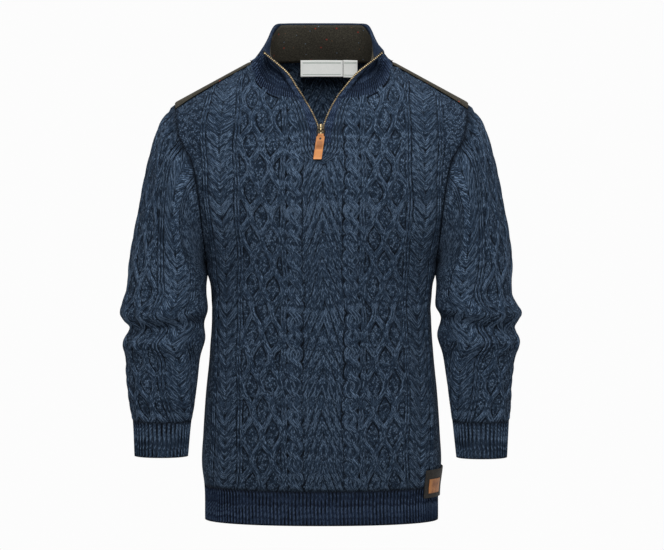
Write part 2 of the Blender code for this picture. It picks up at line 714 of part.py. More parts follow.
def plate(outline, low, high):
    """Vertices and faces of a plate of the slider, from its outline seen from the front."""
    count = len(outline)
    verts = [in_frame(x, d, out) for out in (low, high) for x, d in outline]
    around = np.arange(count)
    after = (around + 1) % count
    sides = np.stack([around, after, after + count, around + count], axis=-1).tolist()
    return verts, [around[::-1].tolist(), (around + count).tolist()] + sides


def side_plate(outline, half):
    """The same for a plate that stands on edge, from its outline seen from the side."""
    count = len(outline)
    verts = [in_frame(x, d, out) for x in (-half, half) for d, out in outline]
    around = np.arange(count)
    after = (around + 1) % count
    sides = np.stack([around, after, after + count, around + count], axis=-1).tolist()
    return verts, [around[::-1].tolist(), (around + count).tolist()] + sides


def add_solid(name, solid, mat):
    """A closed solid with its faces turned outwards."""
    mesh = bpy.data.meshes.new(name)
    mesh.from_pydata([tuple(v) for v in solid[0]], [], solid[1])
    mesh.materials.append(mat)
    form = bmesh.new()
    form.from_mesh(mesh)
    bmesh.ops.recalc_face_normals(form, faces=form.faces)
    form.to_mesh(mesh)
    form.free()
    obj = bpy.data.objects.new(name, mesh)
    bpy.context.scene.collection.objects.link(obj)
    return obj


def join(obj, solids, operation):
    """Boolean modifiers that add the solids to the object, or cut them from it."""
    for index, solid in enumerate(solids):
        tool = add_solid(f"{obj.name}_{operation.lower()}_{index}", solid, obj.data.materials[0])
        tool.hide_render = True
        tool.display_type = "WIRE"
        step = obj.modifiers.new(operation.title(), "BOOLEAN")
        step.operation = operation
        step.object = tool
        step.solver = "EXACT"


def circle(middle, radius, sides):
    turn = 2 * np.pi * np.arange(sides) / sides
    return np.stack([middle[0] + radius * np.cos(turn), middle[1] + radius * np.sin(turn)], axis=1)


def make_slider(brass):
    """Two plates joined by a post between the rows of teeth, and a bridge for the link."""
    head, foot = -SLIDER_LONG / 2, SLIDER_LONG / 2
    wide, narrow = SLIDER_WIDE / 2, SLIDER_FOOT_WIDE / 2
    outline = [(-0.6 * wide, head), (0.6 * wide, head), (wide, 0.7 * head), (wide, 0.0),
               (narrow, foot), (-narrow, foot), (-wide, 0.0), (-wide, 0.7 * head)]
    slider = add_solid("zip_slider", plate(outline, PLATE_LIFT, PLATE_LIFT + PLATE), brass)
    back = plate(outline, -BACK_PLATE_DEEP - PLATE, -BACK_PLATE_DEEP)
    start = head + PLATE / 4
    post_outline = [(-POST_HALF, start), (POST_HALF, start), (POST_HALF, start + POST_LONG),
                    (-POST_HALF, start + POST_LONG)]
    post = plate(post_outline, -BACK_PLATE_DEEP - PLATE / 2, PLATE_LIFT + PLATE / 2)
    top, base = PLATE_LIFT + BRIDGE_HIGH + PLATE, PLATE_LIFT + PLATE / 2
    reach = BRIDGE_LONG / 2
    arch = [(PIN_DOWN - reach, base), (PIN_DOWN + reach, base), (PIN_DOWN + 0.75 * reach, 0.85 * top),
            (PIN_DOWN + 0.35 * reach, top), (PIN_DOWN - 0.35 * reach, top),
            (PIN_DOWN - 0.75 * reach, 0.85 * top)]
    join(slider, [back, post, side_plate(arch, BRIDGE_HALF)], "UNION")
    hole = side_plate(circle((PIN_DOWN, PIN_HIGH), PIN_HOLE, 12), 2 * BRIDGE_HALF)
    join(slider, [hole], "DIFFERENCE")


def add_hinge():
    """An empty on the hinge's axis, through the hole in the slider's bridge."""
    hinge = bpy.data.objects.new("pull_hinge", None)
    hinge.location = in_frame(0, PIN_DOWN, PIN_HIGH)
    bpy.context.scene.collection.objects.link(hinge)
    return hinge


def make_link(brass, hinge):
    """A closed loop of wire: its top bar is the hinge's pin, its foot carries the tab."""
    wide, narrow = LINK_WIDE / 2, 0.8 * LINK_WIDE / 2
    corners = [(-narrow, 0), (narrow, 0), (wide, 0.25 * LINK_LONG), (wide, 0.85 * LINK_LONG),
               (0.85 * wide, LINK_LONG), (-0.85 * wide, LINK_LONG), (-wide, 0.85 * LINK_LONG),
               (-wide, 0.25 * LINK_LONG)]
    curve = bpy.data.curves.new("pull_link", "CURVE")
    curve.dimensions = "3D"
    curve.bevel_depth = PIN
    curve.bevel_resolution = 1
    line = curve.splines.new("POLY")
    line.points.add(len(corners) - 1)
    origin = in_frame(0, PIN_DOWN, PIN_HIGH)
    for spot, (x, d) in zip(line.points, corners):
        spot.co = (*(in_frame(x, PIN_DOWN + d, PIN_HIGH) - origin), 1.0)
    line.use_cyclic_u = True
    curve.materials.append(brass)
    obj = bpy.data.objects.new("pull_link", curve)
    bpy.context.scene.collection.objects.link(obj)
    obj.parent = hinge


def above_cloth(right, down, out):
    """A point that keeps its distance from the cloth as the cloth curves away below."""
    middle, x_axis, down_axis, _ = cloth_frame()
    x = middle[0] + right
    z = middle[2] + down * down_axis[2] + 0 * right
    step = PIN
    cloth = points(x, -depth("front", x, z), z)
    below = points(x, -depth("front", x, z - step), z - step)
    out_axis = np.cross(x_axis, cloth - below)
    out_axis = out_axis / np.linalg.norm(out_axis, axis=-1, keepdims=True)
    return cloth + out_axis * out[..., None]


def make_tab(leather, hinge):
    """The leather strip, folded round the link's bar, lying along the cloth.

    Its middle line starts at the fold's end behind, climbs to the bar, goes round it
    and runs down in front. The strip is narrower inside the link, and leans sideways.
    """
    half = TAB_LEATHER / 2
    bar = PIN_DOWN + LINK_LONG
    ring = TAB_TOP_CLEAR + half
    behind = TAB_CLEAR + half
    front = behind + TAB_LEATHER + SEAM
    turn = np.radians([260, 225, 180, 135, 100])
    down = np.concatenate([
        bar + np.array([1.0, 0.35]) * TAB_FOLD, bar + ring * np.cos(turn),
        bar + np.array([0.35, 1.0, 1.3]) * TAB_FOLD, [bar + TAB_LONG]])
    out = np.concatenate([
        [behind, behind], PIN_HIGH + ring * np.sin(turn),
        [front + half, front, behind + half, behind]])
    width = np.full(len(down), TAB_WIDE)
    width[2:2 + len(turn)] = TAB_NECK
    across = np.array([-0.5, 0.0, 0.5])[None] * width[:, None]
    right = across + TAB_LEAN * np.maximum(down - bar, 0)[:, None]
    grids = np.broadcast_arrays(right, down[:, None], out[:, None])
    spine = above_cloth(*grids)
    normal = normals(spine)
    verts, faces = wall(spine + normal * half, spine - normal * half)
    return add_mesh("leather_tab", verts, faces, leather, hinge)


# ---------------------------------------------------------------- patches and labels
def inward_columns(face, side, count, steps):
    """Column numbers for steps counted in from the panel's edge at that side."""
    return steps if edge_column(face, side) == 0 else count - 1 - steps


def unit(vectors):
    return vectors / np.linalg.norm(vectors, axis=-1, keepdims=True)


def pick(face, side, rows, steps):
    """Points and normals of a panel, at rows from the bottom and steps from its edge."""
    grid, normal = panel(face), panel_normals(face)
    columns = inward_columns(face, side, grid.shape[1], steps)
    rows, columns = np.broadcast_arrays(rows, columns)
    return on_grid(grid, rows, columns), unit(on_grid(normal, rows, columns))


def make_shoulder_patches(tweed):
    """Tweed over each shoulder seam, a little down the front and further down the back."""
    last = len(body_rows()) - 1
    for side, sign in SIDES.items():
        front, front_up = pick("front", side, (last - PATCH_FRONT)[None], PATCH_COLUMNS[None])
        ends = [pick(face, side, np.array([[last]]), PATCH_COLUMNS[None])
                for face in ("front", "back")]
        seam = (ends[0][0] + ends[1][0]) / 2
        seam_up = unit(ends[0][1] + ends[1][1])
        back, back_up = pick("back", side, last - PATCH_BACK[:, None], PATCH_COLUMNS[None])
        grid = np.concatenate([front, seam, back])
        up = np.concatenate([front_up, seam_up, back_up])
        if side == "right":
            grid, up = grid[:, ::-1], up[:, ::-1]
        add_wall("shoulder_patch_" + side, grid + up * (PATCH_GAP + TWEED), TWEED, tweed, up)


def make_neck_labels(label):
    """Two labels on the inside of the back, under the collar's seam."""
    last = len(body_rows()) - 1
    grid, normal = panel("back"), panel_normals("back")
    middle = (grid.shape[1] - 1) / 2
    for name, steps in (("neck_label", NECK_LABEL), ("size_label", SIZE_LABEL)):
        rows, columns = np.broadcast_arrays(
            last - NECK_LABEL_ROWS[:, None], middle - steps[::-1][None])
        square = unit(on_grid(normal, rows, columns))
        face = on_grid(grid, rows, columns) - square * (CABLE_KNIT + NECK_LABEL_GAP)
        add_wall(name, face, LABEL, label, square)


def make_side_label(label, leather):
    """A label that wraps the side seam at the top of the hem's rib, with its leather."""
    strips = []
    for face, steps in (("front", SIDE_LABEL_FRONT), ("back", SIDE_LABEL_BACK)):
        rib = rib_band(face, RIB_ROWS)
        rib_square = rib_normals(face)
        columns = inward_columns(face, "right", rib.shape[1], steps)
        rows, columns = np.broadcast_arrays(np.array([[1.0], [2.0]]), columns[None])
        low = on_grid(rib, rows, columns), unit(on_grid(rib_square, rows, columns))
        high = pick(face, "right", np.array([[0.0], [1.0]]), steps[None])
        strips.append([np.concatenate([a[:1], (a[1:] + b[:1]) / 2, b[1:]])
                       for a, b in zip(low, high)])
    heights = np.array([LABEL_FOOT, RIB_TOP, LABEL_HEAD])
    seam = points(read(BODY, "width", heights), 0, heights)[:, None]
    seam_square = np.broadcast_to([1.0, 0.0, 0.0], seam.shape)
    grid = np.concatenate([strips[0][0], seam, strips[1][0]], axis=1)
    square = unit(np.concatenate([strips[0][1], seam_square, strips[1][1]], axis=1))
    top = grid + square * (SEAM + LABEL)
    add_wall("side_label", top, LABEL, label, square)
    rows, columns = np.broadcast_arrays(SIDE_PATCH_ROWS[:, None], SIDE_PATCH_COLUMNS[None])
    patch_square = unit(on_grid(square, rows, columns))
    patch = on_grid(top, rows, columns) + patch_square * (SEAM + SIDE_PATCH_LEATHER)
    add_wall("side_label_leather", patch, SIDE_PATCH_LEATHER, leather, patch_square)


def main():
    for obj in list(bpy.data.objects):
        bpy.data.objects.remove(obj, do_unlink=True)
    knit = material("cabled marl", (0.028, 0.043, 0.070), 0.92)
    rib = material("ribbed marl", (0.026, 0.040, 0.068), 0.92)
    tweed = material("dark tweed", (0.030, 0.028, 0.021), 0.95)
    brass = material("antique brass", (0.25, 0.17, 0.07), 0.40, 1.0)
    tape = material("zip tape", (0.020, 0.018, 0.016), 0.85)
    leather = material("tan leather", (0.42, 0.17, 0.06), 0.55)
    white = material("white label", (0.75, 0.78, 0.72), 0.60)
    black = material("black label", (0.018, 0.016, 0.014), 0.70)
    make_body(knit, rib)
    make_sleeves(knit, rib)
    make_collar(rib, tweed)
    make_zip(rib, tape, brass)
    make_slider(brass)
    hinge = add_hinge()
    make_link(brass, hinge)
    make_tab(leather, hinge)
    make_shoulder_patches(tweed)
    make_neck_labels(white)
    make_side_label(black, leather)


main()
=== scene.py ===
"""Look of the cabled wool sweater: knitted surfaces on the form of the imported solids.

Metres, +Z up, the front faces -Y, and +X is to the right as seen from the front. Each
piece is worked out on a fine grid of its own two parameters. The cables and ribs are
raised on that grid, and finer stitches are bumps in the yarn's own directions.
"""

import bmesh
import bpy
import numpy as np
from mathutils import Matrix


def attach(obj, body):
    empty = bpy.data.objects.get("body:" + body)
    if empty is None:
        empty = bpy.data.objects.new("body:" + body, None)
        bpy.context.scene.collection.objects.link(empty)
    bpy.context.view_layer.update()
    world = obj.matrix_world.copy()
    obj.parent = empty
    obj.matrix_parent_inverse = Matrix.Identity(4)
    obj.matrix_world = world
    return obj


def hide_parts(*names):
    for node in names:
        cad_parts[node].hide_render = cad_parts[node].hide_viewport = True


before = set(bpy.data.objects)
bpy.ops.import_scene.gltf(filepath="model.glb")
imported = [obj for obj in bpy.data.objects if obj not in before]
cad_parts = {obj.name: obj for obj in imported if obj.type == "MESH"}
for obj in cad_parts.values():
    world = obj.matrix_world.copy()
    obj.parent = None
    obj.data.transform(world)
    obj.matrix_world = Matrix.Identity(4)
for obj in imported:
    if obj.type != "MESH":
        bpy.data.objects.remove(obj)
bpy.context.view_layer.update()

# ---------------- camera, light, floor
SENSOR = 36.0               # mm
PICTURE_WIDE = 1.004        # metres across the view at the sweater
CAMERA_FAR = 20.0
CAMERA_UP = 5.0             # degrees above level
VIEW_MIDDLE = (0.0158, 0.0, -0.322)


def add_object(name, data):
    obj = bpy.data.objects.new(name, data)
    bpy.context.scene.collection.objects.link(obj)
    return obj


def aim(obj, target):
    """Turns an object so that it looks at a point."""
    away = np.array(obj.location) - np.array(target)
    flat = np.hypot(away[0], away[1])
    obj.rotation_euler = (np.arctan2(flat, away[2]), 0, np.arctan2(away[0], -away[1]))


def make_camera():
    data = bpy.data.cameras.new("camera")
    data.sensor_width = SENSOR
    data.lens = SENSOR * CAMERA_FAR / PICTURE_WIDE
    data.clip_end = 50
    camera = add_object("camera", data)
    rise = np.radians(CAMERA_UP)
    offset = np.array([0, -np.cos(rise), np.sin(rise)]) * CAMERA_FAR
    camera.location = np.array(VIEW_MIDDLE) + offset
    aim(camera, VIEW_MIDDLE)
    bpy.context.scene.camera = camera


def make_lamp(name, spot, size, watts, target):
    data = bpy.data.lights.new(name, "AREA")
    data.shape = "DISK"
    data.size = size
    data.energy = watts
    lamp = add_object(name, data)
    lamp.location = spot
    aim(lamp, target)


def make_world(lit, seen):
    """Plain pale surroundings: what the camera and shiny things see is the seen value."""
    world = bpy.data.worlds.new("studio")
    bpy.context.scene.world = world
    world.use_nodes = True
    world.node_tree.nodes.clear()
    make = Recipe(world.node_tree)
    rays = make.node("ShaderNodeLightPath").outputs
    seen_share = make.math("MAXIMUM", make.math("MAXIMUM", rays["Is Camera Ray"],
                                                rays["Is Glossy Ray"]),
                           rays["Is Transmission Ray"])
    plain, white = (make.from_node("ShaderNodeBackground", 0, ((1, 1, 1), strength))
                    for strength in (lit, seen))
    both = make.from_node("ShaderNodeMixShader", 0, (seen_share, plain, white))
    make.put(make.node("ShaderNodeOutputWorld").inputs["Surface"], both)


# ---------------- thicknesses and gaps
CABLE_KNIT = 0.0030         # body and sleeves
RIB_KNIT = 0.0026           # collar, hem, cuffs and zip bands
TWEED = 0.0015              # collar lining and shoulder patches
LABEL = 0.0008
SEAM = 0.0003               # gap between two pieces that are sewn together
HALF_SEAM = SEAM / 2
SIDE_LAP = 0.0002           # how far front and back each pass the side seam

# ---------------- heights on the body
NECK_HALF = 0.105           # half the neck's width, at the neck points
SHOULDER_HALF = 0.222       # half the shoulders' width, at the sleeve seams
SHOULDER_SLOPE = 0.545      # fall of the shoulder seam for each metre outwards
SHOULDER_TIP = -SHOULDER_SLOPE * (SHOULDER_HALF - NECK_HALF)
UNDERARM = -0.302
RIB_TOP = -0.640
HEM = -0.692
LABEL_FOOT = -0.655
LABEL_HEAD = -0.612

# How far the neckline's middle would rise above the neck points, and how tall the
# rounding is that leads from the shoulder seam down to the full depth of the body.
NECK_RISE = {"front": 0.015, "back": 0.030}
ROUNDING = {"front": 0.200, "back": 0.120}
RING_POWER = 2.25           # 2 is an ellipse, more is squarer at the sides

def table(names, rows):
    """A table of sizes as one array for each named column."""
    return dict(zip(names.split(), np.array(rows, dtype=float).T))


# Body: half the width, and the depth in front of and behind the side seam.
BODY = table("height width front back", [
    (HEM, 0.1770, 0.113, 0.110),
    (RIB_TOP, 0.1780, 0.115, 0.112),
    (LABEL_HEAD, 0.1815, 0.121, 0.118),
    (-0.560, 0.1795, 0.122, 0.119),
    (-0.500, 0.1755, 0.120, 0.117),
    (-0.440, 0.1695, 0.118, 0.115),
    (-0.375, 0.1665, 0.118, 0.114),
    (UNDERARM, 0.1740, 0.123, 0.118),
    (-0.240, 0.1980, 0.128, 0.121),
    (-0.180, 0.2190, 0.130, 0.122),
    (-0.140, 0.2360, 0.130, 0.122),
    (-0.110, 0.2600, 0.130, 0.122),
    (SHOULDER_TIP, 0.3000, 0.130, 0.122),
    (0.060, 0.3000, 0.130, 0.122)])

# Sleeve seam: how far it lies from the middle, seen from the front.
ARMHOLE = table("height width", [
    (UNDERARM, 0.1740), (-0.240, 0.1810), (-0.177, 0.1890), (-0.143, 0.1970),
    (-0.115, 0.2130), (SHOULDER_TIP, SHOULDER_HALF)])

# Soft drape of the body: troughs (below zero) and swells, each a slanted oval.
# The slope is how far the fold runs sideways for each metre up.
FOLD = "x height slope length width depth"
DRAPE = {
    "front": table(FOLD, [
        (-0.125, -0.400, 0.55, 0.120, 0.022, -0.0060),
        (-0.085, -0.470, 0.45, 0.110, 0.024, 0.0040),
        (0.128, -0.375, -0.50, 0.070, 0.020, -0.0040),
        (0.120, -0.450, -0.30, 0.080, 0.026, 0.0030),
        (-0.135, -0.555, 0.20, 0.060, 0.024, -0.0030)]),
    "back": table(FOLD, [
        (-0.110, -0.390, 0.50, 0.110, 0.026, -0.0060),
        (0.115, -0.410, -0.45, 0.120, 0.024, -0.0050),
        (0.000, -0.470, 0.05, 0.120, 0.040, 0.0050),
        (0.060, -0.560, -0.20, 0.070, 0.028, -0.0040)])}

# Sleeves, a row for each ring: its outer and inner point, half its depth, and how far
# forward its middle lies. The rings turn about the underarm, from the armhole to level,
# then roll in and out where the sleeve has slumped above and below the elbow.
SLEEVE_COLUMNS = "out_x out_z in_x in_z depth forward"
SLEEVE_HEAD = [
    (SHOULDER_HALF, SHOULDER_TIP, 0.1740, UNDERARM, 0.074, 0.000),
    (0.2440, -0.0920, 0.1745, -0.3055, 0.075, 0.000),
    (0.2590, -0.1390, 0.1745, -0.3095, 0.074, 0.000),
    (0.2715, -0.1940, 0.1740, -0.3140, 0.071, 0.001),
    (0.2815, -0.2480, 0.1735, -0.3200, 0.068, 0.003)]
SLEEVE = {
    "left": table(SLEEVE_COLUMNS, SLEEVE_HEAD + [
        (0.2905, -0.3000, 0.1730, -0.3300, 0.065, 0.005),
        (0.2960, -0.3450, 0.1725, -0.3500, 0.063, 0.008),
        (0.3040, -0.3795, 0.1705, -0.3730, 0.069, 0.011),
        (0.2915, -0.4000, 0.1760, -0.3940, 0.056, 0.010),
        (0.3010, -0.4230, 0.1745, -0.4180, 0.065, 0.013),
        (0.2955, -0.4480, 0.1820, -0.4450, 0.057, 0.014),
        (0.2955, -0.4800, 0.1860, -0.4800, 0.054, 0.017),
        (0.2910, -0.5100, 0.1900, -0.5100, 0.050, 0.019),
        (0.2860, -0.5410, 0.1960, -0.5410, 0.044, 0.021),
        (0.2835, -0.5940, 0.2010, -0.5940, 0.039, 0.024)]),
    "right": table(SLEEVE_COLUMNS, SLEEVE_HEAD + [
        (0.2880, -0.3000, 0.1730, -0.3300, 0.065, 0.005),
        (0.2890, -0.3520, 0.1715, -0.3480, 0.062, 0.008),
        (0.3020, -0.3780, 0.1710, -0.3680, 0.069, 0.011),
        (0.2930, -0.3980, 0.1790, -0.3860, 0.056, 0.010),
        (0.3005, -0.4220, 0.1735, -0.4120, 0.065, 0.013),
        (0.2915, -0.4480, 0.1820, -0.4420, 0.056, 0.014),
        (0.2885, -0.4810, 0.1880, -0.4810, 0.052, 0.017),
        (0.2860, -0.5110, 0.1930, -0.5110, 0.048, 0.019),
        (0.2840, -0.5410, 0.1970, -0.5410, 0.044, 0.021),
        (0.2812, -0.5960, 0.2030, -0.5960, 0.038, 0.024)])}
SLEEVE_POWER = 2.1
CUFF_ROW = 13               # the row of the table where the sleeve becomes the cuff
SEATED_ROWS = 3.0           # rows over which the armhole's own shape fades into the rings
SIDES = {"left": -1, "right": 1}

# Collar, from the middle of the back (station 0) to the zip (station 1): the base
# follows the neckline, on the back or the front of the body, and the top edge is free.
COLLAR = table("station base_x base_z top_x top_y top_z", [
    (0.00, 0.0000, -0.003, 0.000, 0.049, 0.057),
    (0.12, 0.0400, -0.003, 0.030, 0.048, 0.057),
    (0.25, 0.0780, -0.003, 0.055, 0.042, 0.057),
    (0.40, 0.0990, -0.0015, 0.070, 0.023, 0.0565),
    (0.50, 0.1050, 0.000, 0.075, 0.004, 0.051),
    (0.60, 0.0975, -0.019, 0.079, -0.017, 0.043),
    (0.72, 0.0810, -0.036, 0.084, -0.040, 0.034),
    (0.86, 0.0540, -0.045, 0.091, -0.063, 0.0255),
    (0.93, 0.0410, -0.0458, 0.0935, -0.076, 0.022),
    (1.00, 0.0275, -0.0460, 0.0915, -0.087, 0.020)])
NECK_POINT = 0.50           # the station at the shoulder seam
COLLAR_HOLLOW = 0.0035      # how far the collar curves in at half its height
BOW_START = 0.72            # the station where the front edge starts to follow the zip
TURN_BACK = 0.0016          # knit turned in over the top edge, at the back
TURN_FRONT = 0.0170         # and at the zip
TURN_START, TURN_RUN = 0.30, 0.18
KNIT_SHIFT = 2.5            # mm that the middle cable lies to the right of the zip
RIBS_FOOT = -0.158          # the ribs beside the opening run on down to here
PATCH_FRONT_NECK, PATCH_FRONT_SLEEVE = 0.994, 0.974     # rows of the panels where the
PATCH_BACK_FOOT = 0.832                                 # shoulder patches end
# Zip: half the opening on each side, by height.
ZIP = table("height left right", [
    (-0.112, 0.0036, 0.0016),
    (-0.099, 0.0038, 0.0018),
    (-0.087, 0.0064, 0.0042),
    (-0.069, 0.0140, 0.0110),
    (-0.048, 0.0265, 0.0225),
    (-0.031, 0.0380, 0.0360),
    (-0.011, 0.0520, 0.0545),
    (0.006, 0.0710, 0.0760),
    (0.021, 0.0890, 0.0945)])
SLIT_FOOT = -0.112
SLIT_MIDDLE, SLIT_HIGH = -0.086, -0.066
NECK_FRONT = -0.046         # height of the neckline at the zip
STATION_PER_METRE = 5.8     # collar stations for each metre along its base, near the zip
BAND_AT_NECK = 0.0080       # width of the zip band on the collar
BAND_AT_FOOT = 0.0125       # and beside the slider
COLLAR_END = 1 - (BAND_AT_NECK + 2 * SEAM) * STATION_PER_METRE
TEETH_WIDTH = 0.0024
TEETH_DEEP = 0.0026
TEETH_SUNK = 0.0006         # the teeth lie this far below the face of the knit
TAPE_WIDTH = 0.0070
TAPE = 0.0010

# Slider, pull link and leather tab, on the cloth at the foot of the opening.
SLIDER_X = -0.0010
SLIDER_Z = -0.0920
PIN = 0.0007                # radius of the link's wire
PIN_HIGH = 0.0028
PIN_DOWN = 0.0010           # how far the hinge lies below the slider's middle
LINK_LONG = 0.0092
TAB_WIDE = 0.0124
TAB_LONG = 0.0370
TAB_LEATHER = 0.0014
TAB_NECK = 0.0084           # width of the leather inside the link
TAB_FOLD = 0.0150           # length of the leather that is folded behind
TAB_LEAN = -0.14            # how far the tab swings sideways for each metre down
TAB_CLEAR = 0.0004
TAB_TOP_CLEAR = 0.0012      # from the link's bar to the inside of the leather loop


# ---------------- shared curves
def smooth(knots, values, at):
    """A curve through the rows of a table: cubic pieces with the rows' own gradients."""
    at = np.asarray(at, dtype=float)
    slopes = np.gradient(values, knots)
    k = np.clip(np.searchsorted(knots, at, side="right") - 1, 0, len(knots) - 2)
    span = knots[k + 1] - knots[k]
    t = (at - knots[k]) / span
    rise = values[k] * (2 * t**3 - 3 * t**2 + 1) + values[k + 1] * (3 * t**2 - 2 * t**3)
    return rise + span * (slopes[k] * (t**3 - 2 * t**2 + t) + slopes[k + 1] * (t**3 - t**2))


def read(tab, column, at, key="height"):
    return smooth(tab[key], tab[column], at)


def mix(a, b, t):
    return a + (b - a) * t


def ease(t):
    """0 to 1 with level ends."""
    t = np.clip(t, 0, 1)
    return t * t * (3 - 2 * t)


def power(base, exponent):
    """The base's size to a power, with the base's own sign."""
    return np.sign(base) * np.abs(base) ** exponent


def points(x, y, z):
    return np.stack(np.broadcast_arrays(x, y, z), axis=-1).astype(float)


def unit(vectors):
    return vectors / np.linalg.norm(vectors, axis=-1, keepdims=True)


def gone_along(line):
    """The length gone at each point of a line."""
    steps = np.linalg.norm(np.diff(line, axis=0), axis=-1)
    return np.append(0, np.cumsum(steps))


def folded(near, far):
    """Near rows, then far rows from the last to the first: once round a flat piece."""
    return np.concatenate([near, far[::-1]])


def folded_lines(near, far):
    """The same for grids whose rows lie across a strip: the lines along it, in turn."""
    return folded(near.swapaxes(0, 1), far.swapaxes(0, 1))


def faced(side, *grids):
    """Grids whose columns run the other way on the left, so that faces look outwards."""
    return grids if side == "right" else [grid[:, ::-1] for grid in grids]


# ---------------- the body's form
def round_share(turn):
    """The share of a ring's half width at a turn from its middle, in degrees."""
    return power(np.sin(np.radians(turn)), 2 / RING_POWER)


def depth_share(x, z):
    """The share of the body's full depth at x: a ring is a squared ellipse."""
    across = np.clip(np.abs(x) / read(BODY, "width", z), 0, 1)
    return (1 - across ** RING_POWER) ** (1 / RING_POWER)


def ridge(face, x):
    """Height of the shoulder seam, and of the arch that would join it over the neck."""
    outside = -SHOULDER_SLOPE * (np.abs(x) - NECK_HALF)
    inside = NECK_RISE[face] * (1 - (x / NECK_HALF) ** 2)
    return np.where(np.abs(x) > NECK_HALF, outside, inside)


def drape(face, x, z):
    """Sum of the drape table's slanted ovals, each a Gaussian across and along."""
    folds = DRAPE[face]
    x, z = np.asarray(x), np.asarray(z)
    up = z[..., None] - folds["height"]
    across = x[..., None] - folds["x"] - folds["slope"] * up
    hills = np.exp(-(across / folds["width"]) ** 2 - (up / folds["length"]) ** 2)
    return (folds["depth"] * hills).sum(axis=-1)


def depth(face, x, z):
    """How far the body's surface lies in front of, or behind, the side seam.

    Towards the shoulder seam the depth shrinks like a quarter circle of the distance
    below it.
    """
    ring = depth_share(x, z)
    below = np.clip((ridge(face, x) - z) / ROUNDING[face], 0, 1)
    full = read(BODY, face, z) * ring * np.sqrt(1 - (1 - below) ** 2)
    return full + drape(face, x, z) * ring


def on_front(x, z):
    return points(x, -depth("front", x, z), z)


def collar_base(side, station):
    """Point of the neckline at a station of the collar, on the body's surface."""
    x, z = (read(COLLAR, column, station, "station") for column in ("base_x", "base_z"))
    front = -depth("front", x, z)
    back = depth("back", x, z)
    return points(SIDES[side] * x, np.where(station > NECK_POINT, front, back), z)


def zip_x(side, z):
    return read(ZIP, side, z)


def band_width(z):
    return mix(BAND_AT_FOOT, BAND_AT_NECK, ease((z - SLIT_MIDDLE) / (NECK_FRONT - SLIT_MIDDLE)))


# ---------------- the collar's form
def collar(side, station, share):
    """Point of the collar's outer side: base to top edge by share, softly hollowed.

    Near the zip the front edge bows so that it follows the opening's own line.
    """
    base = collar_base(side, station)
    top_x, top_y, top_z = (read(COLLAR, column, station, "station")
                           for column in ("top_x", "top_y", "top_z"))
    spot = mix(base, points(SIDES[side] * top_x, top_y, top_z), share[..., None])
    out = unit(spot * (1.0, 1.0, 0.0))
    near_zip = ease((station - BOW_START) / (1 - BOW_START))
    spot = spot - out * (COLLAR_HOLLOW * np.sin(np.pi * share) * (1 - near_zip))[..., None]
    edge_z = mix(NECK_FRONT, COLLAR["top_z"][-1], share)
    edge_x = mix(COLLAR["base_x"][-1], COLLAR["top_x"][-1], share)
    bow = (zip_x(side, edge_z) - edge_x) * near_zip
    return spot + points(SIDES[side] * bow, 0, 0)


def zip_line(side, climb, out):
    """Point beside the zip: climb 0 to 1 up the slit, 1 to 2 up the collar's edge.

    Out is the distance from the zip's edge, away from the opening.
    """
    z = mix(SLIT_FOOT, NECK_FRONT, np.clip(climb, 0, 1))
    x = zip_x(side, z) + out
    low = on_front(x, z) * (SIDES[side], 1, 1)
    high = collar(side, 1 - out * STATION_PER_METRE, np.clip(climb - 1, 0, 1))
    return np.where((climb > 1)[..., None], high, low)


# ---------------- one chart, used twice
class Signal:
    """A number that shader nodes work out, with the usual arithmetic.

    The charts below are written once: with arrays they give the mesh its relief, and
    with signals they give the finish its stitches at every point between the vertices.
    """

    def __init__(self, recipe, socket):
        self.recipe, self.socket = recipe, socket

    def step(self, operation, *values):
        return self.recipe.math(operation, *values)

    def __add__(self, other):
        return self.step("ADD", self, other)

    def __sub__(self, other):
        return self.step("SUBTRACT", self, other)

    def __rsub__(self, other):
        return self.step("SUBTRACT", other, self)

    def __mul__(self, other):
        return self.step("MULTIPLY", self, other)

    def __truediv__(self, other):
        return self.step("DIVIDE", self, other)

    __radd__, __rmul__ = __add__, __mul__


def either(operation, array_function):
    """A function of arrays that also works on signals, by the named node."""
    def run(*values):
        signal = next((value for value in values if isinstance(value, Signal)), None)
        return signal.step(operation, *values) if signal is not None else array_function(*values)
    return run


sine, cosine = either("SINE", np.sin), either("COSINE", np.cos)
size, root = either("ABSOLUTE", np.abs), either("SQRT", np.sqrt)
larger, smaller = either("MAXIMUM", np.maximum), either("MINIMUM", np.minimum)
part = either("FRACT", lambda value: value - np.floor(value))
grow, sign = either("EXPONENT", np.exp), either("SIGN", np.sign)
above = either("GREATER_THAN", lambda a, b: np.greater(a, b).astype(float))
raised = either("POWER", lambda base, exponent: np.abs(base) ** exponent)


def bell(value):
    return grow(value * value * -1.0)


def choose(mask, no, yes):
    return no + (yes - no) * mask


OUTSIDE = 9.0               # mm that a cord drops outside its own width
CORD_RISE = 2.4             # mm from a cord's edge to its crown
BASE = 0.35                 # share of that rise which is sunk in the ground
CREVICE = 1.3               # mm that the ground dips beside a cord
LOWER = -1.2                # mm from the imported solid's face to the chart's zero
WALE, COURSE = 4.2, 3.5     # mm, the width and height of a stitch of the cable knit
RIB_WALE, RIB_COURSE = 2.8, 2.9     # and of the ribs and bands
RIB_HALF = 0.40             # half a rib's width, as a share of the ribs' pitch
RIB_STITCH = 0.76           # the width of its one stitch, as a share of the same
HEM_PITCH, CUFF_PITCH, COLLAR_PITCH = 5.4, 6.2, 4.6     # mm from rib to rib
CUFF_LONG = 53.0            # mm
PLAIN = 100.0               # added to a pitch where the ribs give way to plain knitting


def cord(off, half, lift=0.0, rise=CORD_RISE):
    """A round cord: its height, the distance across it, and the gap to its edge, in mm.

    The height is half an ellipse over the cord's width, and far below outside it.
    """
    inside = 1 - (off / half) * (off / half)
    height = lift + (root(larger(inside, 0.0)) - BASE) * rise
    return height - above(0.0, inside) * OUTSIDE, off, size(off) - half


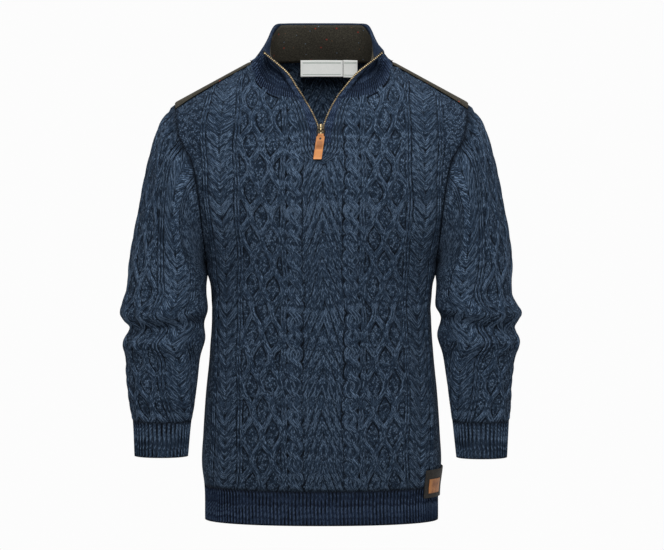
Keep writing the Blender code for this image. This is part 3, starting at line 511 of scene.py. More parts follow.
def over(*layers):
    """The highest cord at each point, with the smallest gap to any of them."""
    height, across, gap = layers[0]
    for next_height, next_across, next_gap in layers[1:]:
        across = choose(above(next_height, height), across, next_across)
        height, gap = larger(height, next_height), smaller(gap, next_gap)
    return height, across, gap


def kept(layer, mask):
    """A layer only where the mask is 1."""
    height, across, gap = layer
    return height - (1 - mask) * OUTSIDE, across, gap + (1 - mask) * OUTSIDE


def rope(w, v, period=24.0, swing=6.6, half=6.9):
    """Two cords that wind round each other: each one's middle swings as a cosine."""
    layers = []
    for start in (0.0, np.pi):
        phase = v * (np.pi / period) + start
        slope = sine(phase) * (swing * np.pi / period)
        off = (w - cosine(phase) * swing) / root(slope * slope + 1)
        layers.append(cord(off, half, sine(phase) * 0.8 - 0.5, 4.0))
    return over(*layers)


def rib(w, half=2.0, rise=1.9):
    return cord(w, half, 0.0, rise)


def trellis(w, v, cell=16.0, edge=32.0, tall=37.0):
    """Crossing cords in a lattice of tall cells, upright where they cross.

    One family keeps w/cell - climb odd, the other w/cell + climb, where climb grows by
    one for each cell's half height, slowly near a crossing and fast between two.
    """
    wave = v * (2 * np.pi / tall)
    climb = v / tall - sine(wave) * 0.10
    speed = (1 - cosine(wave) * 0.628) * (cell / tall)
    layers = []
    for hand in (1, -1):
        off = (part((w / cell - climb * hand) * 0.5) * 2 - 1) * cell
        off = off / root(speed * speed + 1)
        layers.append(cord(off, 5.3, cosine(wave) * (0.6 * hand), 2.6))
    return kept(over(*layers), above(edge + 4.0, size(w)))


def wheat_ear(w, v, half=21.5, period=21.0):
    """Nested pairs of arms that leave the middle and climb outwards, one above another."""
    reach = size(w) / half
    step = part(v / period - raised(reach, 1.2) * 1.05) - 0.5
    height, across, gap = cord(step * (period * 0.70), period * 0.36, step * -1.2, 2.0)
    height = height - bell(w / 1.7) * 1.2 - larger(reach - 0.85, 0.0) * 5.0
    return kept((height, across, gap), above(1.0, reach))


def chevrons(u, v, period=34.0, run=2.7, reach=29.0):
    """Cords that fall away to both sides of the middle, one pair under another."""
    step = part((v + size(u) * run + 9.0) / period) - 0.5
    height, across, gap = cord(step * (period / np.hypot(1, run)), 5.4, 0.1, 2.0)
    return kept((height - bell(u / 1.2) * 0.9, across, gap), above(reach, size(u)))


def settled(layer, u):
    """Cords over the purl ground, which dips beside each cord."""
    height, across, gap = layer
    ground = bell(larger(gap, 0.0) / 1.7) * -CREVICE
    on_cord = above(height, ground)
    return larger(height, ground), choose(on_cord, u, across), on_cord


def body_chart(u, v, beside):
    """Front and back. Beside is the distance from the opening's band, large elsewhere."""
    out = size(u)
    hand = sign(u)
    layers = [chevrons(u, v), rope((out - 43.5) * hand, v), rib(out - 57.8), rib(out - 62.2),
              trellis(out - 94.5, v), rib(out - 129.6), rib(out - 134.4),
              wheat_ear(out - 160.0, v), rib(out - 185.5), rib(out - 190.3)]
    open_side = above(beside, 15.5)
    layers = [kept(layer, open_side) for layer in layers]
    narrow = cord((part(beside / 5.2) - 0.5) * 5.2, 2.35, 0.3, 1.7)
    layers.append(kept(narrow, (1 - open_side) * above(beside, -30.0)))
    return settled(over(*layers), u)


def sleeve_chart(u, v, _):
    """A sleeve, with u measured from the line down its outer side."""
    out = size(u)
    layers = [trellis(u, v + 20, 15.6, 75.0), rib(out - 84.6, 2.3), rib(out - 90.0, 2.3),
              wheat_ear(out - 115.5, v), rib(out - 141.0), rib(out - 146.0)]
    return settled(over(*layers), u)


def rib_chart(ribs, _, pitch):
    """Ribbing, with its place counted in ribs. A pitch over 100 mm is plain knitting.

    Each rib is one column of stitches, so the distance across it is scaled to that.
    """
    plain = above(pitch, 50.0)
    off = part(ribs) - 0.5
    ratio = off / RIB_HALF
    crown = larger(1 - ratio * ratio, 0.0) * 2.1 - 1.4
    height = choose(plain, crown, 0.2)
    across = (off / RIB_STITCH + 0.5) * RIB_WALE
    on_cord = larger(above(1.0, size(ratio)), plain)
    return height, choose(plain, across, off * (pitch - PLAIN)), on_cord


CHARTS = {"body": body_chart, "sleeve": sleeve_chart, "rib": rib_chart}


# ---------------- fine grids of the body
def edge_places(face):
    """Turns round the ring, in degrees, at the numbered places along a panel's edge.

    Front: 0 middle, 1 foot of the slit, 4 neckline at the zip, 9 neck point, 13 armhole.
    Back: 0 middle, 4 neck point, 8 armhole.
    """
    seam = [60, 67.5, 75, 82.5, 90]
    if face == "front":
        return np.array([0, 7, 14, 20, 26, 31, 36, 43, 51] + seam, dtype=float)
    return np.array([0, 15, 30, 45] + seam, dtype=float)


def edge_line(face, side, place):
    """x and z of the panel's top edge at places along it: slit, neckline, shoulder."""
    if face == "front":
        neck, stations = 4, [COLLAR_END, 0.92, 0.86, 0.72, 0.60, NECK_POINT]
    else:
        neck, stations = 0, [0.0, 0.12, 0.25, 0.40, NECK_POINT]
    seam = neck + len(stations) - 1
    station = np.interp(place, neck + np.arange(len(stations)), stations)
    foot = collar(side, station, 0 * station)
    x, z = np.abs(foot[:, 0]), foot[:, 2] - SEAM
    seam_x = np.interp(place, seam + np.arange(5), [0.105, 0.135, 0.170, 0.200, SHOULDER_HALF])
    x = np.where(place > seam, seam_x, x)
    z = np.where(place > seam, ridge(face, seam_x), z)
    if face == "front":
        heights = [SLIT_FOOT, SLIT_FOOT, SLIT_MIDDLE, SLIT_HIGH, NECK_FRONT]
        slit_z = np.interp(place, np.arange(5), heights)
        slit_x = (zip_x(side, slit_z) + band_width(slit_z) + SEAM) * np.clip(place, 0, 1)
        x = np.where(place < neck, slit_x, x)
        z = np.where(place < neck, slit_z - SEAM, z)
    return x, z


def on_body(face, side, x, z):
    """Points of the front or back, sunk by SIDE_LAP: the two lap at the side seams."""
    toward = -1 if face == "front" else 1
    return points(SIDES[side] * x, toward * (depth(face, x, z) - SIDE_LAP), z)


def panel_half(face, side, rows, turn):
    """Half a panel: low rows keep their turn round the ring, high rows swing to the edge."""
    places = edge_places(face)
    top_x, top_z = edge_line(face, side, np.interp(turn, places, np.arange(len(places))))
    low, up = np.minimum(rows, 0)[:, None], np.maximum(rows, 0)[:, None]
    level = UNDERARM + low * (UNDERARM - RIB_TOP)
    share = mix(round_share(turn), top_x / SHOULDER_HALF, up)
    seam = read(ARMHOLE, "width", mix(UNDERARM, SHOULDER_TIP, up))
    width = np.where(up > 0, seam - HALF_SEAM, read(BODY, "width", level))
    x = share * width
    return on_body(face, side, x, level + up * (top_z - UNDERARM))


def whole_ring(half, face, *values):
    """Joins what a function gives for the left and right halves, so that it faces out."""
    left, right = half("left", *values), half("right", *values)
    whole = np.concatenate([left[:, :0:-1], right], axis=1)
    return whole if face == "front" else whole[:, ::-1]


def panel_grid(face, columns, low_rows, high_rows):
    """The whole panel, evenly spaced round the body and up its height."""
    low = np.linspace(-1, 0, low_rows + 1)
    high = np.sin(np.linspace(0, np.pi / 2, high_rows + 1)[1:])
    turn = np.linspace(0, 90, columns // 2 + 1)
    rows = np.concatenate([low, high])
    return whole_ring(lambda side: panel_half(face, side, rows, turn), face)


def across_body(face, x, z):
    """Length of yarn row from the middle to x, along the body at one height."""
    steps = np.sin(np.linspace(0, np.pi / 2, 17))
    line = np.abs(x)[..., None] * steps
    deep = depth(face, line, z[..., None])
    length = np.hypot(np.diff(line, axis=-1), np.diff(deep, axis=-1)).sum(axis=-1)
    return np.sign(x) * length


def up_body(face, x, z):
    """Height measured along the cloth: it curves back over the rounding of the shoulder.

    Below the rounding it is z. Above, the arc of an ellipse is added, in eight chords.
    """
    rounding = ROUNDING[face]
    full = read(BODY, face, z) * depth_share(x, z)
    start = ridge(face, x) - rounding
    fall = np.clip(1 - (z - start) / rounding, 0, 1)
    turn = np.arccos(np.clip(1 - fall, 0, 1))
    spots = turn[..., None] + (np.pi / 2 - turn)[..., None] * (np.arange(8) + 0.5) / 8
    arc = np.hypot(rounding * np.sin(spots), full[..., None] * np.cos(spots)).mean(axis=-1)
    return np.where(z > start, start + arc * (np.pi / 2 - turn), z)


# ---------------- where the charts lie
def sway(u, v):
    """Small wandering of knitted rows and columns, in mm, from slow uneven waves."""
    du = 1.7 * np.sin(v / 41 + u / 60 + 1.3) + 1.1 * np.sin(v / 17 + u / 33)
    dv = 3.4 * np.sin(u / 27 + v / 90) + 1.6 * np.sin(u / 11 + v / 55 + 2.0)
    return u + du, v + dv


def body_places(face, x, z):
    """Chart coordinates of the body: mm round it, mm up it, and mm beside the opening.

    The opening's narrow ribs run on a little below its foot, then give way.
    """
    u, v = sway(across_body(face, x, z) * 1000 - KNIT_SHIFT, up_body(face, x, z) * 1000)
    if face == "back":
        return u, v, np.full(u.shape, 99.0)
    edge = np.where(x < 0, *(zip_x(side, z) + band_width(z) for side in SIDES)) * 1000
    beside = np.abs(x) * 1000 - edge + np.maximum(RIBS_FOOT - z, 0) * 380
    return u, v, np.minimum(beside, 99.0)


# ---------------- creases of the worn cloth
# Soft troughs (below zero) and ridges, in metres across and up each piece, with their
# depth in mm. A sleeve's height is below zero: its distance down from the armhole.
CREASES = {
    "front": table(FOLD, [
        (-0.150, -0.335, 0.75, 0.050, 0.0075, -2.6), (-0.126, -0.372, 0.70, 0.060, 0.009, 1.6),
        (-0.118, -0.416, 0.62, 0.048, 0.007, -2.0), (-0.142, -0.455, 0.50, 0.036, 0.008, 1.3),
        (0.148, -0.345, -0.60, 0.042, 0.007, -2.2), (0.132, -0.388, -0.55, 0.050, 0.009, 1.4),
        (0.140, -0.432, -0.42, 0.034, 0.0065, -1.6), (-0.060, -0.300, 0.30, 0.070, 0.010, -1.2),
        (0.066, -0.322, -0.24, 0.060, 0.009, -1.0), (-0.100, -0.545, 0.35, 0.045, 0.009, -1.5),
        (0.104, -0.520, -0.30, 0.052, 0.010, -1.4), (0.150, -0.570, -0.20, 0.030, 0.007, 1.2)]),
    "back": table(FOLD, [
        (-0.140, -0.350, 0.70, 0.055, 0.008, -2.4), (-0.118, -0.396, 0.60, 0.045, 0.009, 1.5),
        (-0.132, -0.440, 0.50, 0.038, 0.007, -1.8), (0.146, -0.338, -0.65, 0.048, 0.008, -2.3),
        (0.120, -0.405, -0.55, 0.055, 0.009, -1.7), (0.050, -0.470, -0.20, 0.060, 0.010, 1.2),
        (-0.052, -0.520, 0.25, 0.050, 0.009, -1.3), (0.095, -0.560, -0.30, 0.040, 0.008, -1.4)]),
    "sleeve": table(FOLD, [
        (0.062, -0.190, 0.50, 0.050, 0.0075, -2.4), (0.084, -0.226, 0.42, 0.045, 0.008, 1.8),
        (0.070, -0.262, 0.60, 0.040, 0.0065, -2.6), (0.038, -0.236, 0.80, 0.036, 0.007, -1.6),
        (0.096, -0.150, 0.34, 0.052, 0.008, -1.8), (0.060, -0.318, 0.45, 0.036, 0.007, -1.5),
        (-0.066, -0.205, -0.50, 0.048, 0.008, -2.2), (-0.090, -0.246, -0.45, 0.042, 0.0075, 1.7),
        (-0.058, -0.280, -0.60, 0.038, 0.007, -2.0), (-0.100, -0.165, -0.35, 0.046, 0.008, -1.6),
        (0.000, -0.232, 1.60, 0.030, 0.007, -1.4), (0.110, -0.290, 0.30, 0.034, 0.007, -1.6),
        (-0.104, -0.318, -0.28, 0.036, 0.008, -1.4)])}


def creases(rows, x, z):
    """The sum of slanted ovals, in mm: each falls off as a bell along and across itself."""
    total = 0.0
    for x0, z0, slope, length, width, depth in zip(*rows.values()):
        steep = np.hypot(1, slope)
        along = ((z - z0) + slope * (x - x0)) / steep
        across = ((x - x0) - slope * (z - z0)) / steep
        total = total + depth * bell(along / length) * bell(across / width)
    return total


# ---------------- shells and meshes
def normals(grid, closed=False):
    """Normals of a grid of points, from the chords on either side of each.

    They point outwards where rows climb and columns run to the right as seen there.
    """
    around = np.gradient(grid, axis=1)
    if closed:
        around = np.roll(grid, -1, axis=1) - np.roll(grid, 1, axis=1)
    normal = np.cross(around, np.gradient(grid, axis=0))
    return normal / np.maximum(np.linalg.norm(normal, axis=-1, keepdims=True), 1e-12)


def fan(fine, coarse, step):
    """Triangles between a finely divided edge and a coarse one that runs beside it."""
    first = fine[:-1].reshape(-1, step)
    after = fine[1:].reshape(-1, step)
    hub = np.repeat(coarse[:-1, None], step, axis=1)
    narrow = np.stack([hub, first, after], axis=-1).reshape(-1, 3)
    wide = np.stack([coarse[:-1], after[:, -1], coarse[1:]], axis=-1)
    return np.concatenate([narrow, wide])


def quads(ids):
    """The squares of a grid of numbered vertices, or of several grids in one array."""
    corners = (ids[..., :-1, :-1], ids[..., :-1, 1:], ids[..., 1:, 1:], ids[..., 1:, :-1])
    return np.stack(corners, axis=-1).reshape(-1, 4)


def add_piece(name, verts, faces, finish, smooth=True, **attributes):
    """A mesh from arrays: faces is a list of arrays, each of one kind of polygon."""
    mesh = bpy.data.meshes.new(name)
    loops = np.concatenate([part.ravel() for part in faces]).astype(np.int32)
    sizes = np.concatenate([np.full(len(part), part.shape[1]) for part in faces])
    mesh.vertices.add(len(verts))
    mesh.vertices.foreach_set("co", np.ascontiguousarray(verts, dtype=np.float32).ravel())
    mesh.loops.add(len(loops))
    mesh.loops.foreach_set("vertex_index", loops)
    mesh.polygons.add(len(sizes))
    starts = np.concatenate([[0], np.cumsum(sizes)[:-1]]).astype(np.int32)
    mesh.polygons.foreach_set("loop_start", starts)
    mesh.update(calc_edges=True)
    mesh.validate()
    if smooth:
        mesh.shade_smooth()
    for key, values in attributes.items():
        values = np.asarray(values, dtype=np.float32)
        kind = "FLOAT_VECTOR" if values.ndim == 2 else "FLOAT"
        layer = mesh.attributes.new(key, kind, "POINT")
        layer.data.foreach_set("vector" if values.ndim == 2 else "value", values.ravel())
    mesh.materials.append(finish)
    return add_object(name, mesh)


def shell(outer, inner, step, closed=False):
    """Faces of a closed wall: a fine outer grid, and an inner one with every step-th line.

    The outer grid's vertices come first. A closed grid repeats no column.
    """
    rows, columns = outer.shape[:2]
    ids = np.arange(rows * columns).reshape(rows, columns)
    back = np.arange(inner.shape[0] * inner.shape[1]).reshape(inner.shape[:2]) + ids.size
    if closed:
        ids = np.concatenate([ids, ids[:, :1]], axis=1)
        back = np.concatenate([back, back[:, :1]], axis=1)
    rims = [fan(ids[0, ::-1], back[0, ::-1], step), fan(ids[-1], back[-1], step)]
    if not closed:
        rims += [fan(ids[:, 0], back[:, 0], step), fan(ids[::-1, -1], back[::-1, -1], step)]
    faces = [quads(ids), quads(back)[:, ::-1], np.concatenate(rims)]
    return np.concatenate([outer.reshape(-1, 3), inner.reshape(-1, 3)]), faces


def edge_fade(shape, rows, columns, closed=False):
    """1 inside a grid and 0 on its borders, rising over that many lines."""
    row = np.minimum(np.arange(shape[0]), np.arange(shape[0])[::-1]) / rows
    fade = ease(row)[:, None] * np.ones(shape)
    if not closed:
        column = np.minimum(np.arange(shape[1]), np.arange(shape[1])[::-1]) / columns
        fade = fade * ease(column)
    return fade


def knitted(name, grid, chart, places, thickness, finish, closed=False, fade=(3, 3), step=4,
            swell=0.0, shade=0.0):
    """A knitted piece: a grid raised by its chart, and a plainer inner side.

    Swell is more height in mm. Chart holds the three chart coordinates of each point, for
    the finish. Rim shade is painted shade: 1 on the borders and 0 inside, more where shade says.
    """
    height = CHARTS[chart](*places)[0]
    rise = edge_fade(grid.shape[:2], *fade, closed=closed)
    lift = mix(-0.6, height + LOWER, rise) + swell
    normal = normals(grid, closed)
    outer = grid + normal * (lift / 1000)[..., None]
    rows = slice(None, None, step)
    inner = (grid - normal * thickness)[rows, rows]
    verts, faces = shell(outer, inner, step, closed)
    spots = np.stack(places, axis=-1)
    spots = np.concatenate([spots.reshape(-1, 3), spots[rows, rows].reshape(-1, 3)])
    # Painted shade on the piece's borders and seams, and where shade says.
    rim = np.maximum(1 - rise, shade).ravel()
    rim = np.concatenate([rim, np.zeros(inner.shape[0] * inner.shape[1])])
    return add_piece(name, verts, faces, finish, chart=spots, rim=rim)


# ---------------- placing pieces
def face_outwards(obj):
    """Turns every face of a closed piece outwards."""
    form = bmesh.new()
    form.from_mesh(obj.data)
    bmesh.ops.recalc_face_normals(form, faces=form.faces)
    form.to_mesh(obj.data)
    form.free()


def place(piece, node, slot, body="sweater"):
    """The piece stands for a solid of the same part: it hangs from the body's empty, and
    the solid is hidden. The slot is not used.
    """
    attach(piece, body)
    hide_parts(node)


def cloth(piece, node, slot):
    """The same for cloth."""
    place(piece, node, slot)


def make_panels(finish):
    for face in ("front", "back"):
        columns, low, high = ((304, 144, 144) if face == "front" else (272, 128, 128))
        grid = panel_grid(face, columns, low, high)
        places = body_places(face, grid[..., 0], grid[..., 2])
        near_side = ease((np.abs(grid[..., 0]) / read(BODY, "width", grid[..., 2]) - 0.90) / 0.08)
        underarm = near_side * bell((grid[..., 2] - UNDERARM + 0.014) / 0.014)
        panel = knitted(face + "_knit", grid, "body", places, CABLE_KNIT, finish,
                        swell=3.2 * underarm + creases(CREASES[face], grid[..., 0], grid[..., 2]))
        cloth(panel, face, "cable_knit")


# ---------------- sleeves
def sleeve_ring_at(side, row, turn):
    """The sleeve's surface at any rows and turns, led in from the armhole's own loop."""
    rings = SLEEVE[side]
    index = np.arange(len(rings["out_x"]), dtype=float)
    out_x, out_z, in_x, in_z, deep, forward = (
        smooth(index, rings[name], row)[:, None] for name in SLEEVE_COLUMNS.split())
    out, ahead = power(np.cos(turn), 2 / SLEEVE_POWER), power(np.sin(turn), 2 / SLEEVE_POWER)
    x = (out_x + in_x) / 2 + (out_x - in_x) / 2 * out
    z = (out_z + in_z) / 2 + (out_z - in_z) / 2 * out
    return points(SIDES[side] * x, -forward - deep * ahead, z)


def armhole_at(side, turn):
    """The sleeve seam as a closed loop: shoulder, front, underarm, back."""
    z = mix(UNDERARM, SHOULDER_TIP, (1 + np.cos(turn)) / 2)
    x = read(ARMHOLE, "width", z)
    front, back = depth("front", x, z), depth("back", x, z)
    y = np.where(np.sin(turn) > 0, -front, back) * (np.abs(np.sin(turn)) > 1e-6)
    return points(SIDES[side] * (x + HALF_SEAM), y, z)


def sleeve_grid(side, row, turn):
    rings = sleeve_ring_at(side, row, turn)
    start = sleeve_ring_at(side, np.zeros(1), turn)
    fade = (1 - ease(row / SEATED_ROWS))[:, None, None]
    return rings + (armhole_at(side, turn) - start) * fade


def even_rows(side, first, last, count):
    """Rows of the sleeve's table spaced evenly along the sleeve."""
    trial = np.linspace(first, last, 400)
    gone = gone_along(sleeve_grid(side, trial, np.radians([0.0, 90.0, 180.0])).mean(axis=1))
    return np.interp(np.linspace(0, gone[-1], count + 1), gone, trial)


def round_and_down(grid):
    """mm round each ring from its outer line, and mm down the sleeve, for a closed grid."""
    chord = np.linalg.norm(np.roll(grid, -1, axis=1) - grid, axis=-1)
    gone = np.concatenate([np.zeros((len(grid), 1)), np.cumsum(chord, axis=1)], axis=1)
    u = np.where(gone[:, :-1] > gone[:, -1:] / 2, gone[:, :-1] - gone[:, -1:], gone[:, :-1])
    step = np.linalg.norm(np.diff(grid, axis=0), axis=-1).mean(axis=1)
    v = -np.append(0, np.cumsum(step))[:, None] + 0 * u
    return u * 1000, v * 1000


def whole_turn(count):
    return 2 * np.pi * np.arange(count) / count


def make_sleeves(finish, rib_finish):
    around, down = ((192, 200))
    turn = whole_turn(around)
    for side in SIDES:
        grid = sleeve_grid(side, even_rows(side, 0, CUFF_ROW, down), turn)
        u, v = round_and_down(grid)
        swell = bell((v + 3.0) / 1.9) * 1.3 - bell((v + 7.5) / 2.2) * 0.9
        inner_z = (grid[..., 2] - UNDERARM) * 1000
        swell = swell + bell((inner_z + 14) / 14) * ease((np.abs(u) - 100) / 25) * 3.0
        swell = swell + creases(CREASES["sleeve"], u / 1000, v / 1000)
        # Painted shade in the groove below the armhole seam.
        shade = bell((v + 7.5) / 1.6) * 0.42
        grid, swell, shade, *places = faced(side, grid, swell, shade, *sway(u, v), 0 * u)
        piece = knitted(f"sleeve_{side}_knit", grid, "sleeve", places, CABLE_KNIT, finish,
                        closed=True, swell=swell, shade=shade)
        cloth(piece, f"sleeve_{side}", "cable_knit")
        ribbed_tube(side, rib_finish)


# ---------------- ribs
def ribbed_tube(side, finish):
    """The cuff: an even number of ribs round a tube that ends in a soft edge."""
    ribs = 40
    turn = whole_turn(ribs * (8))
    rows = np.linspace(CUFF_ROW + 0.006, CUFF_ROW + 1, 29)
    grid = sleeve_grid(side, rows, turn)
    signed = np.where(turn > np.pi, turn - 2 * np.pi, turn)
    u = (signed / (2 * np.pi) * ribs)[None] + np.zeros((len(rows), 1))
    v = (rows[:, None] - CUFF_ROW) * -CUFF_LONG + 0 * u
    grid, *places = faced(side, grid, u, v, 0 * u + CUFF_PITCH)
    piece = knitted(f"cuff_{side}_knit", grid, "rib", places, RIB_KNIT, finish,
                    closed=True, fade=(2, 3))
    cloth(piece, f"cuff_{side}", "rib_knit")


def make_hem(finish):
    """The hem's rib, front and back, with a whole number of ribs from seam to seam."""
    ribs = 84
    columns = ribs * 8
    rows = np.linspace(HEM, RIB_TOP - SEAM, 25)
    turn = np.linspace(0, 90, columns // 2 + 1)

    def half(side, face):
        x = round_share(turn) * read(BODY, "width", rows)[:, None]
        return on_body(face, side, *np.broadcast_arrays(x, rows[:, None]))

    for face in ("front", "back"):
        grid = whole_ring(half, face, face)
        step = np.linalg.norm(np.diff(grid, axis=1), axis=-1).mean(axis=0)
        gone = np.append(0, np.cumsum(step))
        u = (gone / gone[-1] * ribs)[None] + np.zeros((len(rows), 1))
        places = (u, grid[..., 2] * 1000, 0 * u + HEM_PITCH)
        piece = knitted(f"hem_rib_{face}_knit", grid, "rib", places, RIB_KNIT, finish,
                        fade=(2, 3))
        cloth(piece, "hem_rib_" + face, "rib_knit")


# ---------------- the collar
COLLAR_RIBS = 58            # ribs in each half of the collar
RIB_RUN = 0.12              # share of a half's ribs that run out at the zip's edge
LIP = 0.0019                # radius of the collar's rounded top edge
COLLAR_FOOT = 0.0060        # how far its ribs run down behind the seam with the body
SMALL_STEP = 0.01           # share of its height over which its own way up is taken


def turn_depth(station):
    """Width of the knit turned in over the collar's top edge."""
    return mix(TURN_BACK, TURN_FRONT, ease((station - TURN_START) / TURN_RUN))


def collar_height(station):
    """Length of the collar from the seam to the top edge, at a station."""
    foot, head = (collar("right", station, share * np.ones_like(station)) for share in (0, 1))
    return np.linalg.norm(head - foot, axis=-1)


def around_collar(half):
    """Joins what a function gives for the right and left halves, round the back."""
    right, left = half("right"), half("left")
    return np.concatenate([right[:, :0:-1], left], axis=1)


def end_cap(loop, verts):
    """Triangles that close a loop of vertices, from a shared middle point."""
    middle = verts[loop].mean(axis=0, keepdims=True)
    hub = np.full(len(loop), len(verts))
    return np.concatenate([verts, middle]), np.stack([loop, np.roll(loop, -1), hub], axis=-1)


def skin(name, rings, finish, **attributes):
    """A closed strip from an array of rings: each row of the array is a line along it.

    The first and last rows are joined, and both ends are capped from their middles.
    """
    ids = np.arange(rings.shape[0] * rings.shape[1]).reshape(rings.shape[:2])
    around = np.concatenate([ids, ids[:1]])
    verts, first = end_cap(ids[::-1, 0], rings.reshape(-1, 3))
    verts, last = end_cap(ids[:, -1], verts)
    for key, values in attributes.items():
        flat = values.reshape(ids.size, -1)
        flat = np.concatenate([flat, flat[[0, ids.shape[1] - 1]]])
        attributes[key] = flat if flat.shape[1] == 3 else flat[:, 0]
    return add_piece(name, verts, [quads(around), first, last], finish, **attributes)


def make_collar(rib_finish, tweed_finish):
    """The standing collar: ribbed outside, a rounded top, and the edge turned in."""
    across, up = ((440, 26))
    stations = np.linspace(0, COLLAR_END, across + 1)
    height = collar_height(stations)
    shares = np.linspace(0, 1, up + 1)[:, None] - 0 * stations
    low = COLLAR_FOOT / height

    def sunk(share, deep):
        """Grid of the collar's face at shares of its height, moved in by a depth."""
        grid, above_it = (
            around_collar(lambda side: collar(side, stations + 0 * share, share + up))
            for up in (0.0, SMALL_STEP))
        outward = unit(np.cross(np.gradient(grid, axis=1), above_it - grid))
        return grid - outward * deep[..., None]

    ribs_at = stations * (1 - RIB_RUN * ease((stations - 0.15) / 0.7) * shares) * COLLAR_RIBS
    u = around_collar(lambda side: ribs_at * SIDES[side] + 0.5)
    v = around_collar(lambda side: shares * height * 1000)
    level = around_collar(lambda side: shares)
    pitch = np.full(u.shape, COLLAR_PITCH)
    rise = rib_chart(u, v, pitch)[0]
    lift = (rise * 0.95 - 0.2) * ease((1 - level) / 0.07) * ease(level / 0.04)
    outer = sunk(mix(-low, 1 - LIP / height, shares), -lift / 1000)

    turn = 1 - turn_depth(stations) / height
    deeper = RIB_KNIT + TWEED + SEAM
    lip_turn = np.radians([20, 45, 70, 95, 120, 150])[:, None]
    lip_share = 1 - LIP / height * (1 - np.sin(lip_turn))
    lip_deep = around_collar(lambda side: deeper / 2 * (1 - np.cos(lip_turn)) + 0 * stations)
    lip = sunk(lip_share, lip_deep)
    inside_shares = np.stack([mix(1 - 0.6 * LIP / height, turn, t) for t in (0.0, 0.5, 0.9, 1.0)])
    inside_deep = np.array([deeper, deeper, deeper, deeper - 0.0006])[:, None]
    turned = sunk(inside_shares, inside_deep + 0 * around_collar(lambda side: inside_shares))
    wall_shares = np.outer([1.0, 0.67, 0.34, 0.0], turn - 0.0008 / height)
    behind = sunk(wall_shares, np.full((4, 2 * across + 1), RIB_KNIT))
    rings = np.concatenate([outer, lip, turned, behind])

    rows = len(rings) - len(outer)
    inside_u = around_collar(lambda side: stations * 80 * SIDES[side] + 0 * np.zeros((rows, 1)))
    inside_v = around_collar(lambda side: np.arange(rows)[:, None] * 3.0 + 0 * stations)
    inside = np.stack([inside_u, inside_v, np.full(inside_u.shape, PLAIN + 3.4)], axis=-1)
    chart = np.concatenate([np.stack([u, v, pitch], axis=-1), inside])
    # Painted shade along the foot of the collar, where it meets the body.
    rim = np.concatenate([1 - ease(level / 0.06), np.zeros((rows, level.shape[1]))])
    piece = skin("collar_knit", rings, rib_finish, chart=chart, rim=rim)
    cloth(piece, "collar", "rib_knit")

    lining_shares = np.linspace(0, 1, 15)[:, None] * (turn - 0.0005 / height)
    last = stations * (1 - 0.004)
    face = around_collar(lambda side: collar(side, last + 0 * lining_shares, lining_shares))
    square = normals(face)
    wave = 0.5 * np.sin(around_collar(lambda side: last * 21 * SIDES[side] + 0 * lining_shares))
    swell = (wave * np.sin(np.pi * np.linspace(0, 1, 15))[:, None] + 0.5) / 1000
    near = face - square * (RIB_KNIT + SEAM)
    far = face - square * (RIB_KNIT + SEAM + TWEED + np.maximum(swell, 0))[..., None]
    piece = skin("collar_lining_tweed", np.concatenate([near, far[::-1]]), tweed_finish)
    cloth(piece, "collar_lining", "tweed")


# ---------------- the zip
TOOTH_PITCH = 0.0029
BAND_WALE = 3.2             # mm, the width of a stitch of the zip bands


def zip_length(side):
    """Places up the zip's edge, and the length gone at each."""
    climb = np.linspace(0, 2, 401)
    return climb, gone_along(zip_line(side, climb, 0 * climb))


def strip_grid(side, climb, out):
    """A strip along the zip, ordered so that it faces outwards on both sides."""
    return faced(side, zip_line(side, climb[:, None] + 0 * out, out))[0]


def make_zip(rib_finish, tape_finish, brass_finish):
    """On each side a plain knitted band, a woven tape behind it, and metal teeth."""
    for side in SIDES:
        climb, gone = zip_length(side)
        rows = np.interp(np.linspace(0, gone[-1], 141), gone, climb)
        width = band_width(mix(SLIT_FOOT, NECK_FRONT, np.clip(rows, 0, 1)))[:, None]
        share = np.linspace(0, 1, 13)[None]
        face = strip_grid(side, rows, mix(SEAM, width + 0.0004, share))
        square = normals(face)
        crown = 0.0007 * np.sqrt(np.clip(1 - (2 * share - 1) ** 4, 0, 1)) - 0.0004
        near = face + square * (crown + 0 * rows[:, None])[..., None]
        far = face - square * RIB_KNIT
        share = folded_lines(share, share)
        along = np.interp(rows, climb, gone)[None] * 1000
        across = share * width.T * 1000
        chart = points(across / BAND_WALE, along, PLAIN + BAND_WALE)
        # Painted shade along both long edges of the band.
        rim = 0.7 * np.abs(2 * share - 1) ** 8 + 0 * across
        band = skin(f"zip_band_{side}_knit", folded_lines(near, far)[::-1], rib_finish,
                    chart=chart[::-1], rim=rim[::-1])
        cloth(band, f"zip_band_{side}", "rib_knit")

        out = np.linspace(-0.0003, TAPE_WIDTH, 5)[None] + 0 * rows[:, None]
        strip = strip_grid(side, rows, out)
        square = normals(strip)
        near, far = strip - square * (RIB_KNIT + SEAM), strip - square * (RIB_KNIT + SEAM + TAPE)
        tape = skin(f"zip_tape_{side}_woven", folded_lines(near, far)[::-1], tape_finish)
        cloth(tape, f"zip_tape_{side}", "zip_tape")
        make_teeth(side, climb, gone, brass_finish)


